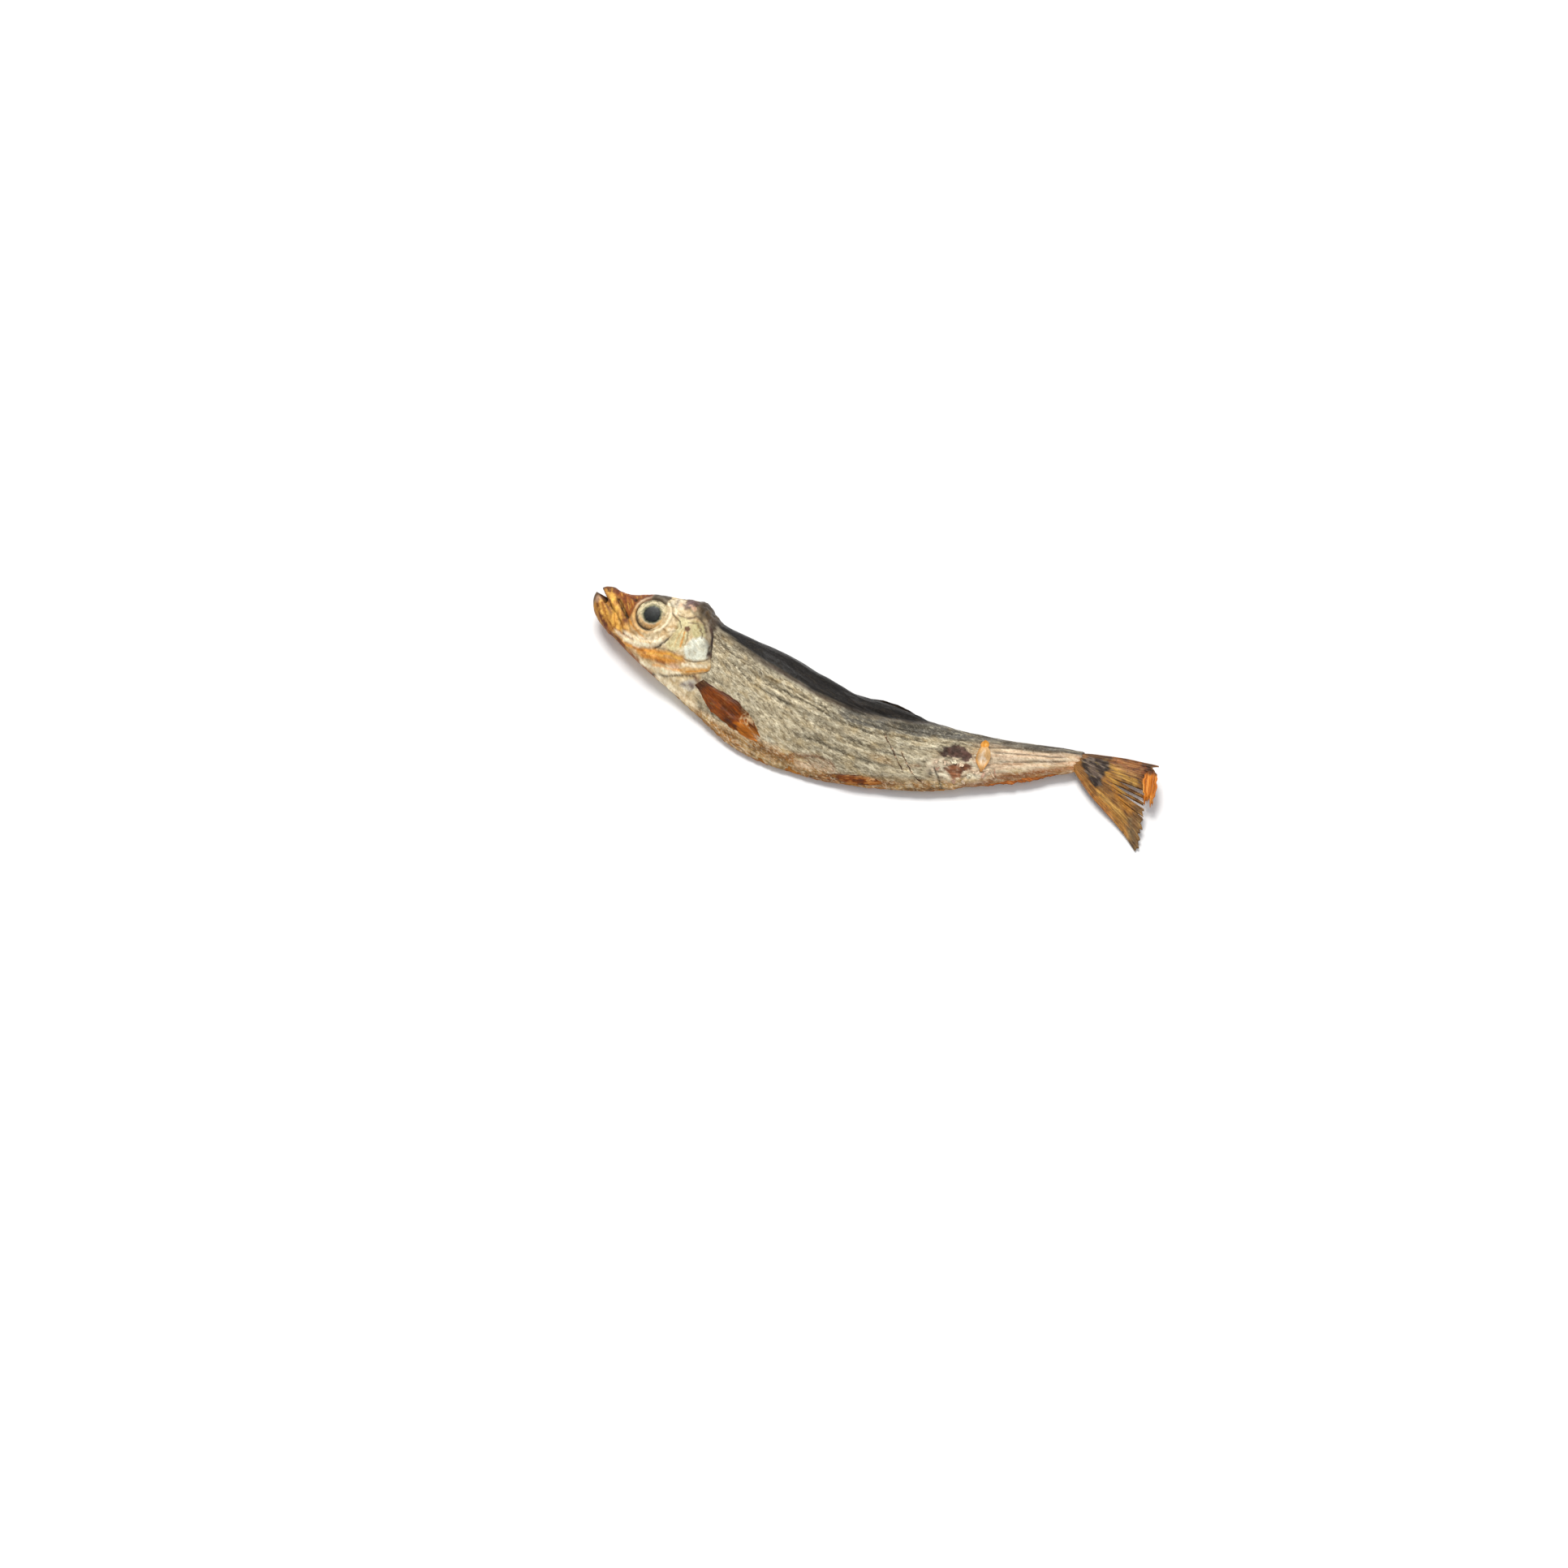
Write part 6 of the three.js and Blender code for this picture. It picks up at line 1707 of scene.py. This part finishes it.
# ---------------------------------------------------------------- stage
CAMERA_TURN, CAMERA_RISE = 21.7, 60.0  # degrees
CAMERA_DISTANCE, CAMERA_AIM = 700.0, (0.0, 0.0, 4.0)  # millimetres, as are the next two
CAMERA_ASIDE, CAMERA_BELOW = -12.8, -10.74
CAMERA_LENS, SENSOR_WIDTH = 90.24, 36
FLOOR_HALF, FLOOR_BELOW = 6.0, 0.0001  # metres
SKY_TINT, SKY_STRENGTH = (0.93, 0.95, 1.0, 1), 0.5
LAMPS = [  # name, place and size in metres, power in watts, tint
    ("key_lamp", (-0.35, 0.45, 0.95), 0.5, 11.0, (1.0, 0.985, 0.96)),
    ("fill_lamp", (0.7, -0.7, 0.6), 0.8, 2.4, (1.0, 0.98, 0.95)),
]


def make_camera():
    """The camera: it looks down at the fish from its tail's side, with the fish a little right of and
    above the middle of the frame."""
    a, e = np.radians(CAMERA_TURN), np.radians(CAMERA_RISE)
    right = np.array([np.cos(a), np.sin(a), 0])
    back = np.array([np.sin(a) * np.cos(e), -np.cos(a) * np.cos(e), np.sin(e)])
    up = np.cross(back, right)
    eye = np.array(CAMERA_AIM) + back * CAMERA_DISTANCE + right * CAMERA_ASIDE + up * CAMERA_BELOW
    data = bpy.data.cameras.new("camera")
    data.lens, data.sensor_width, data.sensor_fit = CAMERA_LENS, SENSOR_WIDTH, "HORIZONTAL"
    data.clip_start, data.clip_end = 0.01, 20
    camera = bpy.data.objects.new("camera", data)
    camera.matrix_world = Matrix([[right[k], up[k], back[k], eye[k] * MM] for k in range(3)] + [[0, 0, 0, 1]])
    bpy.context.scene.collection.objects.link(camera)
    bpy.context.scene.camera = camera


def make_lamp(name, place_at, size, power, tint):
    """A soft square lamp that looks at the middle of the fish."""
    data = bpy.data.lights.new(name, "AREA")
    data.shape, data.size, data.energy, data.color = "SQUARE", size, power, tint
    lamp = bpy.data.objects.new(name, data)
    lamp.location = place_at
    lamp.rotation_euler = (-Vector(place_at)).to_track_quat("-Z", "Y").to_euler()
    bpy.context.scene.collection.objects.link(lamp)


def make_floor():
    """A plain pale floor: one flat square under the fish, with a faint unevenness in its tone."""
    n = Nodes("pale_floor")
    faint = n.noise(n.add("ShaderNodeTexCoord").outputs["Object"], 2.0, 2.0)
    tone = n.blend(n.span(faint, 0.3, 0.7), (0.90, 0.895, 0.89), (0.93, 0.928, 0.925))
    mesh = bpy.data.meshes.new("floor")
    square = ((-1, -1), (1, -1), (1, 1), (-1, 1))
    corners = [(x * FLOOR_HALF, y * FLOOR_HALF, -FLOOR_BELOW) for x, y in square]
    mesh.from_pydata(corners, [], [(0, 1, 2, 3)])
    mesh.materials.append(n.finish(Base_Color=tone, Roughness=0.8))
    floor = bpy.data.objects.new("floor", mesh)
    bpy.context.scene.collection.objects.link(floor)
    floor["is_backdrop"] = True


# ---------------------------------------------------------------- operators
class SMOKEDFISH_OT_skin(bpy.types.Operator):
    """Make the skin of the whole body, from the jaws to the tail base"""

    bl_idname = "smoked_fish.skin"
    bl_label = "Skin"

    def execute(self, context):
        make_skin()
        return {"FINISHED"}


class SMOKEDFISH_OT_eyes(bpy.types.Operator):
    """Make the two eyes in their sockets"""

    bl_idname = "smoked_fish.eyes"
    bl_label = "Eyes"

    def execute(self, context):
        for name, side in SIDES.items():
            make_eye(f"eye_{name}", side)
        return {"FINISHED"}


class SMOKEDFISH_OT_gill_covers(bpy.types.Operator):
    """Make the two gill covers behind the cheeks"""

    bl_idname = "smoked_fish.gill_covers"
    bl_label = "Gill Covers"

    def execute(self, context):
        for name, side in SIDES.items():
            make_gill_cover(f"gill_cover_{name}", side)
        return {"FINISHED"}


class SMOKEDFISH_OT_paired_fins(bpy.types.Operator):
    """Make the pectoral and pelvic fins, folded back against the flanks"""

    bl_idname = "smoked_fish.paired_fins"
    bl_label = "Pectoral and Pelvic Fins"

    def execute(self, context):
        for name, side in SIDES.items():
            make_flank_fin(f"pectoral_fin_{name}", PECTORAL, side)
            make_flank_fin(f"pelvic_fin_{name}", PELVIC, side)
        return {"FINISHED"}


class SMOKEDFISH_OT_midline_fins(bpy.types.Operator):
    """Make the dorsal and anal fins, folded along the midline"""

    bl_idname = "smoked_fish.midline_fins"
    bl_label = "Dorsal and Anal Fins"

    def execute(self, context):
        make_midline_fin("dorsal_fin", DORSAL, True)
        make_midline_fin("anal_fin", ANAL, False)
        return {"FINISHED"}


class SMOKEDFISH_OT_tail(bpy.types.Operator):
    """Make the forked tail fin with its torn ray bundles"""

    bl_idname = "smoked_fish.tail"
    bl_label = "Tail Fin"

    def execute(self, context):
        make_tail()
        make_tuft()
        return {"FINISHED"}


class SMOKEDFISH_OT_loose_skin(bpy.types.Operator):
    """Make the curled flake, the torn shreds round the scar and the thin threads stuck to the flank"""

    bl_idname = "smoked_fish.loose_skin"
    bl_label = "Loose Skin"

    def execute(self, context):
        make_flake()
        make_shreds()
        make_threads()
        return {"FINISHED"}


class SMOKEDFISH_OT_scutes(bpy.types.Operator):
    """Make the row of keeled scutes along the belly edge"""

    bl_idname = "smoked_fish.scutes"
    bl_label = "Belly Scutes"

    def execute(self, context):
        make_scutes()
        return {"FINISHED"}


class SMOKEDFISH_OT_stage(bpy.types.Operator):
    """Make the camera, the lamps, the world's light and the floor"""

    bl_idname = "smoked_fish.stage"
    bl_label = "Stage"

    def execute(self, context):
        scene = context.scene
        scene.view_settings.view_transform = "Standard"
        world = bpy.data.worlds.new("studio")
        world.use_nodes = True
        background = world.node_tree.nodes["Background"]
        background.inputs["Color"].default_value = SKY_TINT
        background.inputs["Strength"].default_value = SKY_STRENGTH
        scene.world = world
        for lamp in LAMPS:
            make_lamp(*lamp)
        make_floor()
        make_camera()
        return {"FINISHED"}


PIECE_OPERATORS = (
    SMOKEDFISH_OT_skin, SMOKEDFISH_OT_eyes, SMOKEDFISH_OT_gill_covers, SMOKEDFISH_OT_paired_fins,
    SMOKEDFISH_OT_midline_fins, SMOKEDFISH_OT_tail, SMOKEDFISH_OT_loose_skin, SMOKEDFISH_OT_scutes,
    SMOKEDFISH_OT_stage,
)


class SMOKEDFISH_PT_panel(bpy.types.Panel):
    """The pieces of the fish and what can be set about them."""

    bl_idname = "SMOKEDFISH_PT_panel"
    bl_label = "Smoked Fish"
    bl_space_type = "VIEW_3D"
    bl_region_type = "UI"
    bl_category = "Smoked Fish"

    def draw(self, context):
        for operator in PIECE_OPERATORS:
            self.layout.operator(operator.bl_idname)
        for group, kind in ((context.scene.smoked_fish_sizes, FishSizes),
                            (context.scene.smoked_fish_colours, FishColours)):
            for key in kind.__annotations__:
                self.layout.prop(group, key)


CLASSES = (FishColours, FishSizes, *PIECE_OPERATORS, SMOKEDFISH_PT_panel)


def register():
    """Makes the classes known to Blender and puts the two groups of settings on the scene."""
    for cls in CLASSES:
        bpy.utils.register_class(cls)
    bpy.types.Scene.smoked_fish_colours = PointerProperty(type=FishColours)
    bpy.types.Scene.smoked_fish_sizes = PointerProperty(type=FishSizes)


def unregister():
    """Takes the settings and the classes away again."""
    del bpy.types.Scene.smoked_fish_sizes
    del bpy.types.Scene.smoked_fish_colours
    for cls in reversed(CLASSES):
        bpy.utils.unregister_class(cls)


def main():
    """Makes all pieces and the stage, and works out how large the pieces came out."""
    register()
    for operator in PIECE_OPERATORS:
        group, name = operator.bl_idname.split(".")
        getattr(getattr(bpy.ops, group), name)()
    visual_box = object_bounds()
    as_lists = lambda corners: [[float(x) for x in corner] for corner in corners]
    {"cad_box": as_lists(CAD_BOX), "visual_box": as_lists(visual_box)}


if __name__ == "__main__":
    main()
